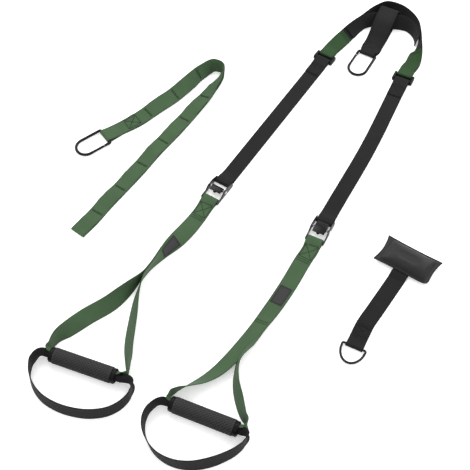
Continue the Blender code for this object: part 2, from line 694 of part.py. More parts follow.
def tab_rows(side):
    """The pull tab's two layers over the twisting band, folded round the slider's upper bar."""
    frame, length, _ = LEGS[side]
    bar_place = length + SLIDER_BAR_OFFSET
    layers = []
    for step in (0, 1):
        rise = WEB_THICKNESS + TAB_LOOSENESS + TAB_LAYER_STEP * step
        rows = floor_rows(equalizer_knots(rise), TWIST_STEPS)
        if side == "right":
            rows = rows[::-1]
        travelled = 0.0
        kept = [rows[0]]
        for row in rows[1:]:
            travelled += np.linalg.norm(row[0] - kept[-1][0])
            if travelled > TAB_LENGTH - SLIDER_LENGTH:
                break
            kept.append(row)
        layers.append(kept)
    back = frame.inverted()
    local = []
    for rows in layers:
        local.append([(np.array(back @ Vector(c)), np.array(back.to_3x3() @ Vector(s)), 0.0, w)
                      for c, s, _, w in rows])
    lower_end, upper_end = local[0][0][0], local[1][0][0]
    under = SLIDER_BAR_HEIGHT - SLIDER_WRAP_RADIUS
    over = SLIDER_BAR_HEIGHT + SLIDER_WRAP_RADIUS
    wrap = wrap_rows((0, bar_place, SLIDER_BAR_HEIGHT), SLIDER_WRAP_RADIUS, -AROUND / 4,
                     -AROUND * 3 / 4, ACROSS, steps=8)
    into = spine_rows([(*lower_end, WEB_WIDTH), (0, bar_place, under, WEB_WIDTH)], ACROSS, 2)
    out = spine_rows([(0, bar_place, over, WEB_WIDTH), (*upper_end, WEB_WIDTH)], ACROSS, 2)
    return local[0][:0:-1] + into[:-1] + wrap[:-1] + out[:-1] + local[1]


def pull_tab(side):
    return band(f"pull_tab_{side}", tab_rows(side), "green_webbing", LEGS[side][0], segments=2)


def slider(side):
    """A plastic slide: a base, two side rails and two bars over the leg strap."""
    frame, length, _ = LEGS[side]
    half_width, half_length = SLIDER_WIDTH / 2, SLIDER_LENGTH / 2
    corners = [(-half_width, -half_length), (half_width, -half_length),
               (half_width, half_length), (-half_width, half_length)]
    spot = frame @ Matrix.Translation((0, length, SLIDER_HEIGHT / 2))
    body = plate_mesh(f"slider_{side}", rounded(corners, SLIDER_CORNER), SLIDER_HEIGHT, spot)
    obj = add_part(f"slider_{side}", body, "black_plastic")
    inner = WEB_WIDTH / 2 + SLIDER_SIDE_GAP
    channel = box_mesh(f"slider_channel_{side}", (-inner, -half_length - OVERRUN, SLIDER_BASE),
                       (inner, half_length + OVERRUN, SLIDER_HEIGHT + OVERRUN))
    channel.transform(frame @ Matrix.Translation((0, length, 0)))
    combine(obj, add_cutter(channel.name, channel), "DIFFERENCE")
    for label, place in (("low", -SLIDER_BAR_OFFSET), ("high", SLIDER_BAR_OFFSET)):
        reach = inner + (half_width - inner) / 2
        bar = rod_mesh(f"slider_bar_{label}_{side}", SLIDER_BAR_RADIUS,
                       (-reach, place, SLIDER_BAR_HEIGHT), (reach, place, SLIDER_BAR_HEIGHT), 12)
        bar.transform(frame @ Matrix.Translation((0, length, 0)))
        combine(obj, add_cutter(bar.name, bar), "UNION")
    return obj


def side_frame(frame, across, up_leg, height):
    """A frame whose z runs across the leg, for outlines drawn in y and z of the leg."""
    turn = Matrix(((0, 0, 1, 0), (1, 0, 0, 0), (0, 1, 0, 0), (0, 0, 0, 1)))
    return frame @ Matrix.Translation((across, up_leg, height)) @ turn


def buckle_frame(side):
    """Two side plates joined by the top bar and the bottom bar, with holes for the pivot."""
    frame = LEGS[side][0]
    low = -BUCKLE_SPAN - BUCKLE_TAIL
    corners = [(low, PLATE_FOOT), (BUCKLE_NOSE, PLATE_FOOT), (BUCKLE_NOSE, PLATE_HEIGHT * PLATE_NOSE_SHARE)]
    corners += [(-PIVOT_DROP * share, PLATE_HEIGHT) for share in PLATE_CREST_SHARES]
    corners += [(-BUCKLE_SPAN * PLATE_TAIL_SHARE, PLATE_LOW_HEIGHT), (low, PLATE_LOW_HEIGHT)]
    outline = rounded(corners, TOP_BAR_RADIUS)
    pieces = []
    for name, sign in (("near", -1), ("far", 1)):
        middle = sign * (PLATE_INNER + PLATE_THICKNESS / 2)
        pieces.append(plate_mesh(f"plate_{name}_{side}", outline, PLATE_THICKNESS,
                                 side_frame(frame, middle, 0, 0)))
    for name, radius, place, height in (
            ("top_bar", TOP_BAR_RADIUS, 0, TOP_BAR_HEIGHT),
            ("bottom_bar", BOTTOM_BAR_RADIUS, -BUCKLE_SPAN, BOTTOM_BAR_HEIGHT)):
        reach = PLATE_OUTER - PLATE_THICKNESS / 3
        bar = rod_mesh(f"{name}_{side}", radius, (-reach, place, height), (reach, place, height))
        bar.transform(frame)
        pieces.append(bar)
    obj = add_part(f"buckle_frame_{side}", pieces[0], "black_steel")
    for piece in pieces[1:]:
        combine(obj, add_cutter(piece.name, piece), "UNION")
    reach = PLATE_OUTER + OVERRUN
    hole = rod_mesh(f"pivot_hole_{side}", PIVOT_RADIUS + CLEARANCE,
                    (-reach, -PIVOT_DROP, PIVOT_HEIGHT), (reach, -PIVOT_DROP, PIVOT_HEIGHT))
    hole.transform(frame)
    combine(obj, add_cutter(hole.name, hole), "DIFFERENCE")
    return obj


def cam_outline(side):
    """The lever's side view about its pivot: toothed nose, hub and thumb lip.

    The right cam is shut on the webbing; the left one is drawn thrown open, teeth up.
    """
    to_bar = Vector((PIVOT_DROP, TOP_BAR_HEIGHT - PIVOT_HEIGHT))
    aim = math.degrees(math.atan2(to_bar.y, to_bar.x))
    if side == "right":
        reach = to_bar.length - TOP_WRAP_RADIUS - WEB_THICKNESS / 2 - CAM_BITE_GAP
        first, last = aim - AROUND / 36, aim + AROUND / 18
    else:
        reach = CAM_HUB_RADIUS + CAM_TOOTH_DEPTH
        first, last = -AROUND / 6, AROUND * 2 / 9
    outline = []
    steps = CAM_TEETH * 2
    for step in range(steps + 1):
        angle = math.radians(first + (last - first) * step / steps)
        radius = reach - (CAM_TOOTH_DEPTH if step % 2 == 0 else 0.0)
        outline.append((radius * math.cos(angle), radius * math.sin(angle)))
    lip = CAM_LIPS[side]
    lip_top = CAM_HUB_RADIUS + CAM_TOOTH_DEPTH
    if side == "right":
        outline.append((CAM_HUB_RADIUS * 0.8, CAM_HUB_RADIUS * 1.30))
    outline.append((-CAM_HUB_RADIUS * 0.3, CAM_HUB_RADIUS * 1.34))
    outline.append((-lip * 0.7, lip_top))
    outline.append((-lip, lip_top - CAM_TOOTH_DEPTH))
    outline.append((-lip - CAM_LIP_THICKNESS / 3, lip_top - CAM_LIP_THICKNESS * 0.8))
    outline.append((-lip, lip_top - CAM_LIP_THICKNESS * 1.3))
    for angle in np.radians(np.linspace(AROUND * 0.42, AROUND * 0.82, 7)):
        outline.append((CAM_HUB_RADIUS * math.cos(angle), CAM_HUB_RADIUS * math.sin(angle)))
    return outline


def cam_lever(side):
    """The sprung cam, whose teeth face the webbing on the top bar."""
    frame = LEGS[side][0]
    body = plate_mesh(f"cam_lever_{side}", cam_outline(side), CAM_WIDTH,
                      side_frame(frame, 0, -PIVOT_DROP, PIVOT_HEIGHT))
    obj = add_part(body.name, body, "black_steel")
    knob_place = -PIVOT_DROP - CAM_LIPS[side]
    knob_low = PIVOT_HEIGHT + CAM_HUB_RADIUS - CAM_LIP_THICKNESS
    knob = rod_mesh(f"cam_knob_{side}", CAM_LIP_THICKNESS * 1.5, (0, knob_place, knob_low),
                    (0, knob_place, knob_low + CAM_LIP_THICKNESS * 1.6))
    knob.transform(frame)
    combine(obj, add_cutter(knob.name, knob), "UNION")
    reach = CAM_WIDTH / 2 + OVERRUN
    hole = rod_mesh(f"cam_hole_{side}", PIVOT_RADIUS + CLEARANCE,
                    (-reach, -PIVOT_DROP, PIVOT_HEIGHT), (reach, -PIVOT_DROP, PIVOT_HEIGHT))
    hole.transform(frame)
    combine(obj, add_cutter(hole.name, hole), "DIFFERENCE")
    return obj


def cam_pin(side):
    """The headed pin that the cam turns on."""
    shoulder = PLATE_OUTER + CLEARANCE
    top = shoulder + PIVOT_HEAD
    profile = [(0, top), (PIVOT_HEAD_RADIUS * 0.8, top), (PIVOT_HEAD_RADIUS, top - PIVOT_HEAD / 3),
               (PIVOT_HEAD_RADIUS, shoulder), (PIVOT_RADIUS, shoulder), (PIVOT_RADIUS, -shoulder),
               (PIVOT_HEAD_RADIUS, -shoulder), (PIVOT_HEAD_RADIUS, PIVOT_HEAD / 3 - top),
               (PIVOT_HEAD_RADIUS * 0.8, -top), (0, -top)]
    spot = side_frame(LEGS[side][0], 0, -PIVOT_DROP, PIVOT_HEIGHT)
    return turned_part(f"cam_pin_{side}", profile, "spring_steel", spot, steps=16)


def spring_points():
    """Half of the double torsion spring: a leg on the plate, a coil and the bridge's end."""
    outer = PLATE_INNER - CLEARANCE - SPRING_WIRE
    coil_width = SPRING_TURNS * SPRING_SPACING
    points = [(outer, -SPRING_LEG * 0.45, -SPRING_RADIUS - SPRING_WIRE * 2),
              (outer, -SPRING_LEG * 0.1, -SPRING_RADIUS)]
    steps = round(SPRING_TURNS * 8)
    for step in range(steps + 1):
        share = step / steps
        angle = math.radians(-AROUND / 4 + AROUND * SPRING_TURNS * share)
        points.append((outer - coil_width * share, SPRING_RADIUS * math.cos(angle),
                       SPRING_RADIUS * math.sin(angle)))
    inner = outer - coil_width
    lip = CAM_HUB_RADIUS - CAM_LIP_THICKNESS - SPRING_WIRE
    points.append((inner, -SPRING_LEG * 0.5, lip + SPRING_WIRE))
    points.append((inner, -SPRING_LEG, lip))
    return points


def coil_gap(points, wire):
    """The least gap between stretches of a wire that aren't neighbours along it."""
    line = np.array(points)
    least = math.inf
    for index, point in enumerate(line):
        others = np.linalg.norm(line - point, axis=1)
        apart = np.abs(np.arange(len(line)) - index) > 5
        least = min(least, others[apart].min())
    return least - 2 * wire


def cam_spring(side):
    """A double torsion spring round the pin, one unbroken wire with a bridge under the lip."""
    half = spring_points()
    print("least gap in the cam spring, mm:", round(coil_gap(half, SPRING_WIRE) * 1000, 2))
    mirrored = [(-x, y, z) for x, y, z in half[::-1]]
    frame = LEGS[side][0] @ Matrix.Translation((0, -PIVOT_DROP, PIVOT_HEIGHT))
    mesh = wire_mesh(f"cam_spring_{side}", half + mirrored, SPRING_WIRE, resolution=1)
    mesh.transform(frame)
    return add_part(mesh.name, mesh, "spring_steel")


def handle_frame(side):
    """The handle's frame, on the floor under the buckle's bottom bar."""
    return LEGS[side][0] @ Matrix.Translation((0, -BUCKLE_SPAN, 0))


def grip_frame(side):
    """The grip's frame: x along the grip, in the handle's own coordinates."""
    share_x, share_y = HANDLES[side][3]
    spot = Matrix.Translation((share_x * HANDLE_DROP, share_y * HANDLE_DROP, GRIP_RADIUS))
    return spot @ Matrix.Rotation(math.radians(HANDLES[side][4]), 4, "Z")


def across_place(side, share):
    """A place across the leg beside the grip, which follows the grip's length."""
    middle = HANDLES[side][3][0]
    return middle * HANDLE_DROP + (share - middle) * GRIP_LENGTH / GRIP_SHARE


def strap_knots(side, shares):
    """A handle layer's knots: the doubled part, then one branch, then the way into the grip."""
    knots = []
    for x, y, lean, layer in shares:
        half = LAYER_STEP / 2 * layer
        lift = abs(half) * abs(math.sin(math.radians(lean)))
        across = x * HANDLE_DROP if layer else across_place(side, x)
        knots.append((across, y * HANDLE_DROP, lean, lift, half, 0.0))
    return knots


def grip_knots(side, end, offset, curl, places):
    """Knots in the grip's bore, from its mouth to its middle; end is -1 or 1."""
    spot = grip_frame(side)
    knots = []
    for place, share in places:
        at = spot @ Vector((end * place, offset, 0))
        knots.append((at.x, at.y, 0.0, GRIP_RADIUS - WEB_WIDTH / 2, 0.0, curl * share))
    return knots


def handle_strap(side):
    """One webbing: doubled from the buckle, split into two branches and run through the grip."""
    outer_shares, inner_shares = HANDLES[side][:2]
    lean = outer_shares[0][2]
    curl = math.copysign(math.degrees(WEB_WIDTH / HANDLE_CURL_RADIUS), lean)
    mouth = GRIP_LENGTH / 2
    inside = [(mouth + COLLAR_LENGTH, 0.75), (mouth, 1.0), (mouth / 2, 1.0), (0.0, 1.0)]
    layers = []
    for shares, end in ((outer_shares, -1), (inner_shares, 1)):
        knots = strap_knots(side, shares)
        knots += grip_knots(side, end, HANDLE_CURL_RADIUS, curl, inside)
        layers.append(knots)
    over = BOTTOM_BAR_HEIGHT + EYE_RADIUS - FLOOR_CENTRE - LAYER_STEP / 2
    under_first = lean > 0
    ends = []
    for shares, knots, is_under in ((outer_shares, layers[0], under_first),
                                    (inner_shares, layers[1], not under_first)):
        half = LAYER_STEP / 2 * shares[0][3]
        if is_under:
            head = [(0.0, -WEB_GAP, lean, LAYER_STEP / 2, half, 0.0)]
        else:
            head = [(0.0, 0.0, lean, over, half, 0.0),
                    (0.0, -EYE_TAPER / 3, lean, over * 0.86, half, 0.0),
                    (0.0, -EYE_TAPER, lean, LAYER_STEP, half, 0.0)]
        ends.append(floor_rows(head + knots, per_span=2))
    under, upper = (ends[0], ends[1]) if under_first else (ends[1], ends[0])
    eye = wrap_rows((0, 0, BOTTOM_BAR_HEIGHT), EYE_RADIUS, AROUND / 4, -AROUND / 4, ACROSS, steps=8)
    rows = under[:-1] + upper[::-1] + eye[1:]
    return band(f"handle_strap_{side}", rows, "green_webbing", handle_frame(side),
                segments=CURL_SEGMENTS)


def handle_label(side):
    """A bare woven label sewn on the doubled strap."""
    shares = HANDLES[side][0] if HANDLES[side][0][0][2] < 0 else HANDLES[side][1]
    knots = strap_knots(side, shares)
    rise = (WEB_THICKNESS + LABEL_THICKNESS) / 2 + CLEARANCE
    sign = 1 if knots[0][2] < 0 else -1
    raised = [(x, y, lean, lift, half + sign * rise, 0.0) for x, y, lean, lift, half, _ in knots]
    rows = []
    for centre, facing, curl, _ in floor_rows(raised, per_span=4):
        share = -centre[1] / HANDLE_DROP
        if LABEL_START_SHARE <= share <= LABEL_END_SHARE:
            rows.append((centre, facing, curl, WEB_WIDTH - LABEL_INSET * 2))
    return band(f"handle_label_{side}", rows, "label_cloth", handle_frame(side),
                thickness=LABEL_THICKNESS)


def foot_loop(side):
    """The foot loop: a ring of webbing that stands on edge and runs back through the grip."""
    curl = math.degrees(WEB_WIDTH / LOOP_CURL_RADIUS)
    mouth = GRIP_LENGTH / 2
    leaving = [(0.0, 1.0), (mouth * 0.9, 1.0), (mouth + COLLAR_LENGTH * 1.5, 1.0)]
    knots = grip_knots(side, -1, -LOOP_CURL_RADIUS, curl, leaving)
    shares = HANDLES[side][2]
    for index, (x, y, lean) in enumerate(shares):
        is_end = index in (0, len(shares) - 1)
        knots.append((across_place(side, x), y * HANDLE_DROP, lean, 0.0, 0.0,
                      curl * 0.45 if is_end else 0.0))
    knots += grip_knots(side, 1, -LOOP_CURL_RADIUS, curl, leaving[::-1])
    return band(f"foot_loop_{side}", floor_rows(knots, per_span=2), "black_webbing",
                handle_frame(side), segments=CURL_SEGMENTS, ring=True)


def ring_profile(inner, outer, half, edge):
    """A ring's section with rounded outer edges, down its outer side and back up its bore."""
    return [(inner, half), (outer - edge, half), (outer, half - edge), (outer, edge - half),
            (outer - edge, -half), (inner, -half)]


def grip(side):
    """Foam sleeve, plastic core tube and two end collars."""
    turn = Matrix.Rotation(math.radians(AROUND / 4), 4, "Y")
    spot = handle_frame(side) @ grip_frame(side) @ turn
    foam_half = GRIP_LENGTH / 2 - COLLAR_LENGTH - CLEARANCE
    foam = turned_part(f"grip_foam_{side}",
                       ring_profile(GRIP_CORE_RADIUS + CLEARANCE, GRIP_RADIUS, foam_half, GRIP_ROUND),
                       "grip_foam", spot, ring=True)
    core_half = GRIP_LENGTH / 2 + GRIP_CORE_LIP
    core = turned_part(f"grip_core_{side}",
                       ring_profile(GRIP_BORE_RADIUS, GRIP_CORE_RADIUS, core_half, GRIP_CORE_LIP / 2),
                       "black_plastic", spot, ring=True)
    pieces = [foam, core]
    for name, sign in (("near", -1), ("far", 1)):
        middle = Matrix.Translation((0, 0, sign * (GRIP_LENGTH - COLLAR_LENGTH) / 2))
        profile = ring_profile(GRIP_CORE_RADIUS + CLEARANCE, COLLAR_RADIUS, COLLAR_LENGTH / 2,
                               GRIP_CORE_LIP / 2)
        pieces.append(turned_part(f"grip_collar_{name}_{side}", profile, "black_plastic",
                                  spot @ middle, ring=True))
    return pieces


def arc_points(centre, radius, start, end, steps):
    """Points on an arc in x and y, both ends included."""
    points = []
    for angle in np.radians(np.linspace(start, end, steps + 1)):
        points.append((centre[0] + radius * math.cos(angle), centre[1] + radius * math.sin(angle), 0))
    return points


def carabiner_frame(place, turn):
    """The carabiner's frame at its bar, tipped so that its round end rests on the floor."""
    tip = math.asin((ROD_HEIGHT - ROD_RADIUS) / (CARABINER_LENGTH - ROD_RADIUS))
    return (floor_frame(place, turn) @ Matrix.Translation((0, 0, ROD_HEIGHT))
            @ Matrix.Rotation(tip, 4, "X"))


def carabiner(name, place, turn, hand):
    """Body, gate and hinge pin; hand is -1 with the gate at -x and 1 with it at +x."""
    frame = carabiner_frame(place, turn) @ Matrix.Scale(-hand, 4, (1, 0, 0))
    half = CARABINER_WIDTH / 2 - ROD_RADIUS
    end = CARABINER_LENGTH - ROD_RADIUS - half
    pivot_y = -GATE_START - GATE_PIVOT
    tongue_end = pivot_y - GATE_RADIUS
    nose_y = -GATE_START - GATE_LENGTH - CLEARANCE
    points = [(-half, -GATE_START, 0)]
    points += arc_points((CARABINER_CORNER - half, -CARABINER_CORNER), CARABINER_CORNER,
                         AROUND / 2, AROUND / 4, 4)
    points += arc_points((half - CARABINER_CORNER, -CARABINER_CORNER), CARABINER_CORNER,
                         AROUND / 4, 0, 4)
    points += arc_points((0, -end), half, 0, -AROUND / 2, 14)
    points.append((-half, nose_y, 0))
    body_mesh = wire_mesh(f"{name}_body", points, ROD_RADIUS, resolution=3)
    tongue = box_mesh(f"{name}_tongue", (-half - GATE_RADIUS, tongue_end, -GATE_TONGUE / 2),
                      (-half + GATE_RADIUS, -GATE_START + ROD_RADIUS, GATE_TONGUE / 2))
    hole = rod_mesh(f"{name}_hole", GATE_PIN_RADIUS + CLEARANCE, (-half, pivot_y, -OVERRUN),
                    (-half, pivot_y, OVERRUN), 12)
    slot_half = GATE_TONGUE / 2 + CLEARANCE
    slot_end = pivot_y - math.hypot(GATE_RADIUS, GATE_RADIUS) - CLEARANCE
    slot = box_mesh(f"{name}_slot", (-half - OVERRUN, slot_end, -slot_half),
                    (-half + OVERRUN, OVERRUN - GATE_START, slot_half))
    gate_mesh = rod_mesh(f"{name}_gate", GATE_RADIUS, (-half, -GATE_START - GATE_END_GAP, 0),
                         (-half, nose_y + CLEARANCE, 0), 16)
    reach = GATE_RADIUS * 0.96
    pin_mesh = rod_mesh(f"{name}_pin", GATE_PIN_RADIUS, (-half, pivot_y, -reach),
                        (-half, pivot_y, reach), 10)
    for mesh in (body_mesh, tongue, hole, slot, gate_mesh, pin_mesh):
        mesh.transform(frame)
        if hand > 0:
            mesh.flip_normals()
    body = add_part(body_mesh.name, body_mesh, "black_steel")
    combine(body, add_cutter(tongue.name, tongue), "UNION")
    bore = add_cutter(hole.name, hole)
    combine(body, bore, "DIFFERENCE")
    gate = add_part(gate_mesh.name, gate_mesh, "black_steel")
    combine(gate, add_cutter(slot.name, slot), "DIFFERENCE")
    combine(gate, bore, "DIFFERENCE")
    pin = add_part(pin_mesh.name, pin_mesh, "spring_steel")
    return body, gate, pin, carabiner_frame(place, turn) @ Matrix.Translation((hand * half, pivot_y, 0))


def extension_strap():
    """Two layers sewn at even steps, folded round the carabiner's bar at one end."""
    spot = floor_frame(EXTENSION_PLACE)
    knots = []
    for x, y, lean in EXTENSION_SHARES:
        lift = LAYER_STEP / 2 * abs(math.sin(math.radians(lean)))
        knots.append((x * EXTENSION_REACH, y * EXTENSION_REACH, lean, lift, 0.0, 0.0))
    middle = floor_rows(knots, per_span=4)
    travelled = 0.0
    upper, lower = [], []
    for index, (centre, facing, _, width) in enumerate(middle):
        if index:
            travelled += np.linalg.norm(centre - middle[index - 1][0])
        ahead = middle[min(index + 1, len(middle) - 1)][0] - middle[max(index - 1, 0)][0]
        normal = np.cross(ahead / np.linalg.norm(ahead), facing)
        puff = PUFF_HEIGHT * math.sin(math.pi * travelled / STITCH_SPACING) ** 2
        upper.append((centre + normal * (LAYER_STEP / 2 + puff), facing, 0.0, width))
        lower.append((centre - normal * LAYER_STEP / 2, facing, 0.0, width))
    turn = math.radians(EXTENSION_TURN)
    across = (math.cos(turn), math.sin(turn), 0)
    away = np.array((-math.sin(turn), math.cos(turn), 0))
    eye = []
    for angle in np.radians(np.linspace(AROUND / 4, AROUND * 3 / 4, 10)):
        centre = (away * math.cos(angle) + UP * math.sin(angle)) * ROD_WRAP_RADIUS + UP * ROD_HEIGHT
        eye.append((centre, np.array(across), 0.0, WEB_WIDTH))
    over = spine_rows([(*upper[0][0], WEB_WIDTH),
                       (*(away * EYE_TAPER + UP * (ROD_HEIGHT + LAYER_STEP)), WEB_WIDTH),
                       (*(UP * (ROD_HEIGHT + ROD_WRAP_RADIUS)), WEB_WIDTH)], across)
    under = spine_rows([(*(UP * FLOOR_CENTRE), WEB_WIDTH), (*lower[0][0], WEB_WIDTH)], across, 2)
    rows = upper[::-1] + over[1:-1] + eye[:-1] + under[:-1] + lower
    return band("extension_strap", rows, "green_webbing", spot)


def door_pad():
    """A stuffed pad: crowned, with its sides drawn in and a flat hem, cut flat underneath."""
    spot = floor_frame(DOOR_PAD_PLACE, DOOR_PAD_TURN)
    seam = PAD_BASE_CROWN + PAD_RIM - PAD_FLAT
    half_length, half_width = PAD_LENGTH / 2, PAD_WIDTH / 2
    shape = bmesh.new()
    bmesh.ops.create_grid(shape, x_segments=18, y_segments=12, size=1)
    below = []
    for vert in shape.verts:
        across, up = vert.co.x, vert.co.y
        swell = (max(1 - (abs(across) / PAD_EDGE_SHARE) ** 4, 0)
                 * max(1 - (abs(up) / PAD_EDGE_SHARE) ** 2.4, 0))
        draw_x = 1 - PAD_DRAW_SHARES[0] * (1 - up ** 2)
        draw_y = 1 - PAD_DRAW_SHARES[1] * (1 - across ** 2)
        rise = math.sqrt(swell) if swell else 0.0
        is_rim = max(abs(across), abs(up)) > 1 - PAD_HEM_SHARE / 4
        rim = 0.0 if is_rim else PAD_RIM
        vert.co = (across * half_length * draw_x, up * half_width * draw_y,
                   seam + rim + PAD_CROWN * rise)
        below.append(seam - rim - PAD_BASE_CROWN * rise)
    top_faces = list(shape.faces)
    copied = bmesh.ops.duplicate(shape, geom=top_faces)
    under = [item for item in copied["geom"] if isinstance(item, bmesh.types.BMFace)]
    pairs = copied["vert_map"]
    original = [vert for vert in shape.verts if vert in pairs and vert.index >= 0]
    heights = {pairs[vert]: low for vert, low in zip(original, below)}
    for vert, low in heights.items():
        vert.co.z = low
    bmesh.ops.reverse_faces(shape, faces=under)
    bmesh.ops.remove_doubles(shape, verts=shape.verts, dist=CLEARANCE / 30)
    obj = add_part("door_pad", finish_mesh("door_pad", shape), "pad_fabric")
    obj.matrix_basis = spot
    flat = box_mesh("pad_floor", (-PAD_LENGTH, -PAD_LENGTH, -OVERRUN), (PAD_LENGTH, PAD_LENGTH, 0))
    cutter = add_cutter("pad_floor", flat)
    cutter.matrix_basis = spot
    combine(obj, cutter, "DIFFERENCE")
    return obj


def door_strap():
    """From under the pad to the ring, round its bar and sewn back on itself."""
    spot = floor_frame(DOOR_RING_PLACE, DOOR_RING_TURN)
    over = RING_HEIGHT + RING_WRAP_RADIUS
    folded = FLOOR_CENTRE + LAYER_STEP
    width = DOOR_STRAP_WIDTH
    hem = PAD_BASE_CROWN - PAD_FLAT - WEB_GAP - WEB_THICKNESS / 2
    tucked = DOOR_STRAP_LENGTH - OVERRUN / 2
    places = [(DOOR_STRAP_LENGTH, hem), (tucked, hem), (tucked - DOOR_STRAP_RISE, FLOOR_CENTRE),
              (DOOR_STRAP_LENGTH / 2, FLOOR_CENTRE), (DOOR_FOLD, FLOOR_CENTRE), (0, FLOOR_CENTRE)]
    lower = []
    for place, height in places:
        veer = max(place - DOOR_FOLD, 0) / (DOOR_STRAP_LENGTH - DOOR_FOLD)
        lower.append((DOOR_STRAP_DRIFT * veer, place, height, width))
    rows = spine_rows(lower, ACROSS)[:-1]
    rows += wrap_rows((0, 0, RING_HEIGHT), RING_WRAP_RADIUS, -AROUND / 4, -AROUND * 3 / 4, ACROSS,
                      width=width, steps=8)
    settle = folded + LAYER_STEP * DOOR_SETTLE_SHARE
    near, far = DOOR_BACK_SHARES
    back = [(0, 0, over, width), (0, DOOR_FOLD * near, settle, width)]
    back += [(0, DOOR_FOLD * far, folded, width), (0, DOOR_FOLD, folded, width)]
    rows += spine_rows(back, ACROSS)[1:]
    return band("door_strap", rows, "black_webbing", spot)


def door_ring():
    """A D-ring: a straight bar in the strap's fold and a bow beyond it."""
    spot = floor_frame(DOOR_RING_PLACE, DOOR_RING_TURN) @ Matrix.Translation((0, 0, RING_HEIGHT))
    spot = spot @ Matrix.Rotation(math.asin((RING_HEIGHT - RING_WIRE) / RING_DEPTH), 4, "X")
    half = RING_WIDTH / 2 - RING_WIRE
    points = arc_points((half - RING_CORNER, -RING_CORNER), RING_CORNER, AROUND / 4, 0, 4)
    shoulder = RING_DEPTH - RING_WIRE - RING_CORNER
    bow = []
    for angle in np.radians(np.linspace(-AROUND / 24, -AROUND * 11 / 24, 15)):
        bow.append((half * math.cos(angle), -RING_CORNER + shoulder * math.sin(angle), 0))
    points += bow
    points += arc_points((RING_CORNER - half, -RING_CORNER), RING_CORNER, AROUND / 2, AROUND / 4, 4)
    mesh = wire_mesh("door_ring", points, RING_WIRE, closed=True, resolution=3)
    mesh.transform(spot)
    return add_part("door_ring", mesh, "dark_chrome")


def build_leg(side):
    frame = LEGS[side][0]
    carry(KIT, leg_strap(side))
    slide = add_pivot(f"leg_length_{side}", frame)
    carry(slide, return_strap(side), buckle_frame(side), cam_pin(side))
    tab = add_pivot(f"tab_slide_{side}", frame @ Matrix.Translation((0, LEGS[side][1], 0)), slide)
    carry(tab, slider(side), pull_tab(side))
    cam = Matrix.Translation((0, -PIVOT_DROP, PIVOT_HEIGHT))
    carry(add_pivot(f"cam_hinge_{side}", frame @ cam, slide), cam_lever(side), cam_spring(side))
    swing = add_pivot(f"handle_swing_{side}",
                      handle_frame(side) @ Matrix.Translation((0, 0, BOTTOM_BAR_HEIGHT)), slide)
    carry(swing, handle_strap(side), handle_label(side))
    grip_spot = handle_frame(side) @ grip_frame(side)
    carry(add_pivot(f"grip_spin_{side}", grip_spot, swing), *grip(side))
    carry(add_pivot(f"foot_loop_swing_{side}", grip_spot, swing), foot_loop(side))


def build_carabiner(name, place, turn, hand, parent):
    body, gate, pin, gate_spot = carabiner(name, place, turn, hand)
    swing = add_pivot(f"{name}_swing", carabiner_frame(place, turn), parent)
    carry(swing, body, pin)
    carry(add_pivot(f"{name}_gate_hinge", gate_spot, swing), gate)


def centre_on_floor():
    """Shift the kit so that the origin is at the bottom centre of its box."""
    bpy.context.view_layer.update()
    view = bpy.context.evaluated_depsgraph_get()
    corners = []
    for obj in PARTS.objects:
        if obj.type == "MESH":
            shown = obj.evaluated_get(view)
            mesh = shown.to_mesh()
            spots = np.empty(len(mesh.vertices) * 3)
            mesh.vertices.foreach_get("co", spots)
            frame = np.array(shown.matrix_world)
            spots = spots.reshape(-1, 3) @ frame[:3, :3].T + frame[:3, 3]
            corners += [spots.min(axis=0), spots.max(axis=0)]
            shown.to_mesh_clear()
    low, high = np.min(corners, axis=0), np.max(corners, axis=0)
    KIT.location = (-(low[0] + high[0]) / 2, -(low[1] + high[1]) / 2, -low[2])
    bpy.context.view_layer.update()


def main():
    carry(KIT, equalizer_band(), equalizer_lining(), anchor_strap())
    build_carabiner("anchor_carabiner", CARABINER_PLACE, 0.0, -1, KIT)
    for side in LEGS:
        build_leg(side)
    extension = add_pivot("extension_lift", floor_frame(EXTENSION_PLACE))
    carry(extension, extension_strap())
    build_carabiner("extension_carabiner", EXTENSION_PLACE, EXTENSION_TURN, 1, extension)
    door = add_pivot("door_anchor_lift", floor_frame(DOOR_PAD_PLACE))
    carry(door, door_pad(), door_strap())
    ring = floor_frame(DOOR_RING_PLACE, DOOR_RING_TURN) @ Matrix.Translation((0, 0, RING_HEIGHT))
    carry(add_pivot("door_ring_swing", ring, door), door_ring())
    centre_on_floor()


main()
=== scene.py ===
"""Looks of a suspension trainer, its extension strap and its door anchor, lying on a pale floor.

Lengths are in metres in the part's own frame. Straps are rebuilt along the same routes as the
solids they stand for, with woven sections, stitching and folds; hard pieces get their fine
shapes and finishes.
"""
import json
import math
import random

import bmesh
import bpy
import numpy as np
from mathutils import Matrix, Vector


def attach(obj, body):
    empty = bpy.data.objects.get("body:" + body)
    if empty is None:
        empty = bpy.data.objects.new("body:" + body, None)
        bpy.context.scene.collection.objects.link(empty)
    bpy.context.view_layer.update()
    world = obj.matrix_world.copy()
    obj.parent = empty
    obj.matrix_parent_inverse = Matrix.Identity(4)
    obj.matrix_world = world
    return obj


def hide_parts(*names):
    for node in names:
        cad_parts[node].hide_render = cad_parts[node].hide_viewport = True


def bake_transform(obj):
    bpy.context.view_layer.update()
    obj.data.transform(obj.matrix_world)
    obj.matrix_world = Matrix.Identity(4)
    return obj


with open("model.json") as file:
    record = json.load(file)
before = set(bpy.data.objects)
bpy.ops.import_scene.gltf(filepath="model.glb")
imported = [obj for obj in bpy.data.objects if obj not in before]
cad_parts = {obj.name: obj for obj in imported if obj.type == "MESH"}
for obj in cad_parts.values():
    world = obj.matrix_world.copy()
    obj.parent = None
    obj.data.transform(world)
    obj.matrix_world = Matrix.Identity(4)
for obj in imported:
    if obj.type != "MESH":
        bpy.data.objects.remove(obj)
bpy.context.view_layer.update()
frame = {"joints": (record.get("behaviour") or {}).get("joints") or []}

# Webbing and clearances
WEB_WIDTH = 0.038
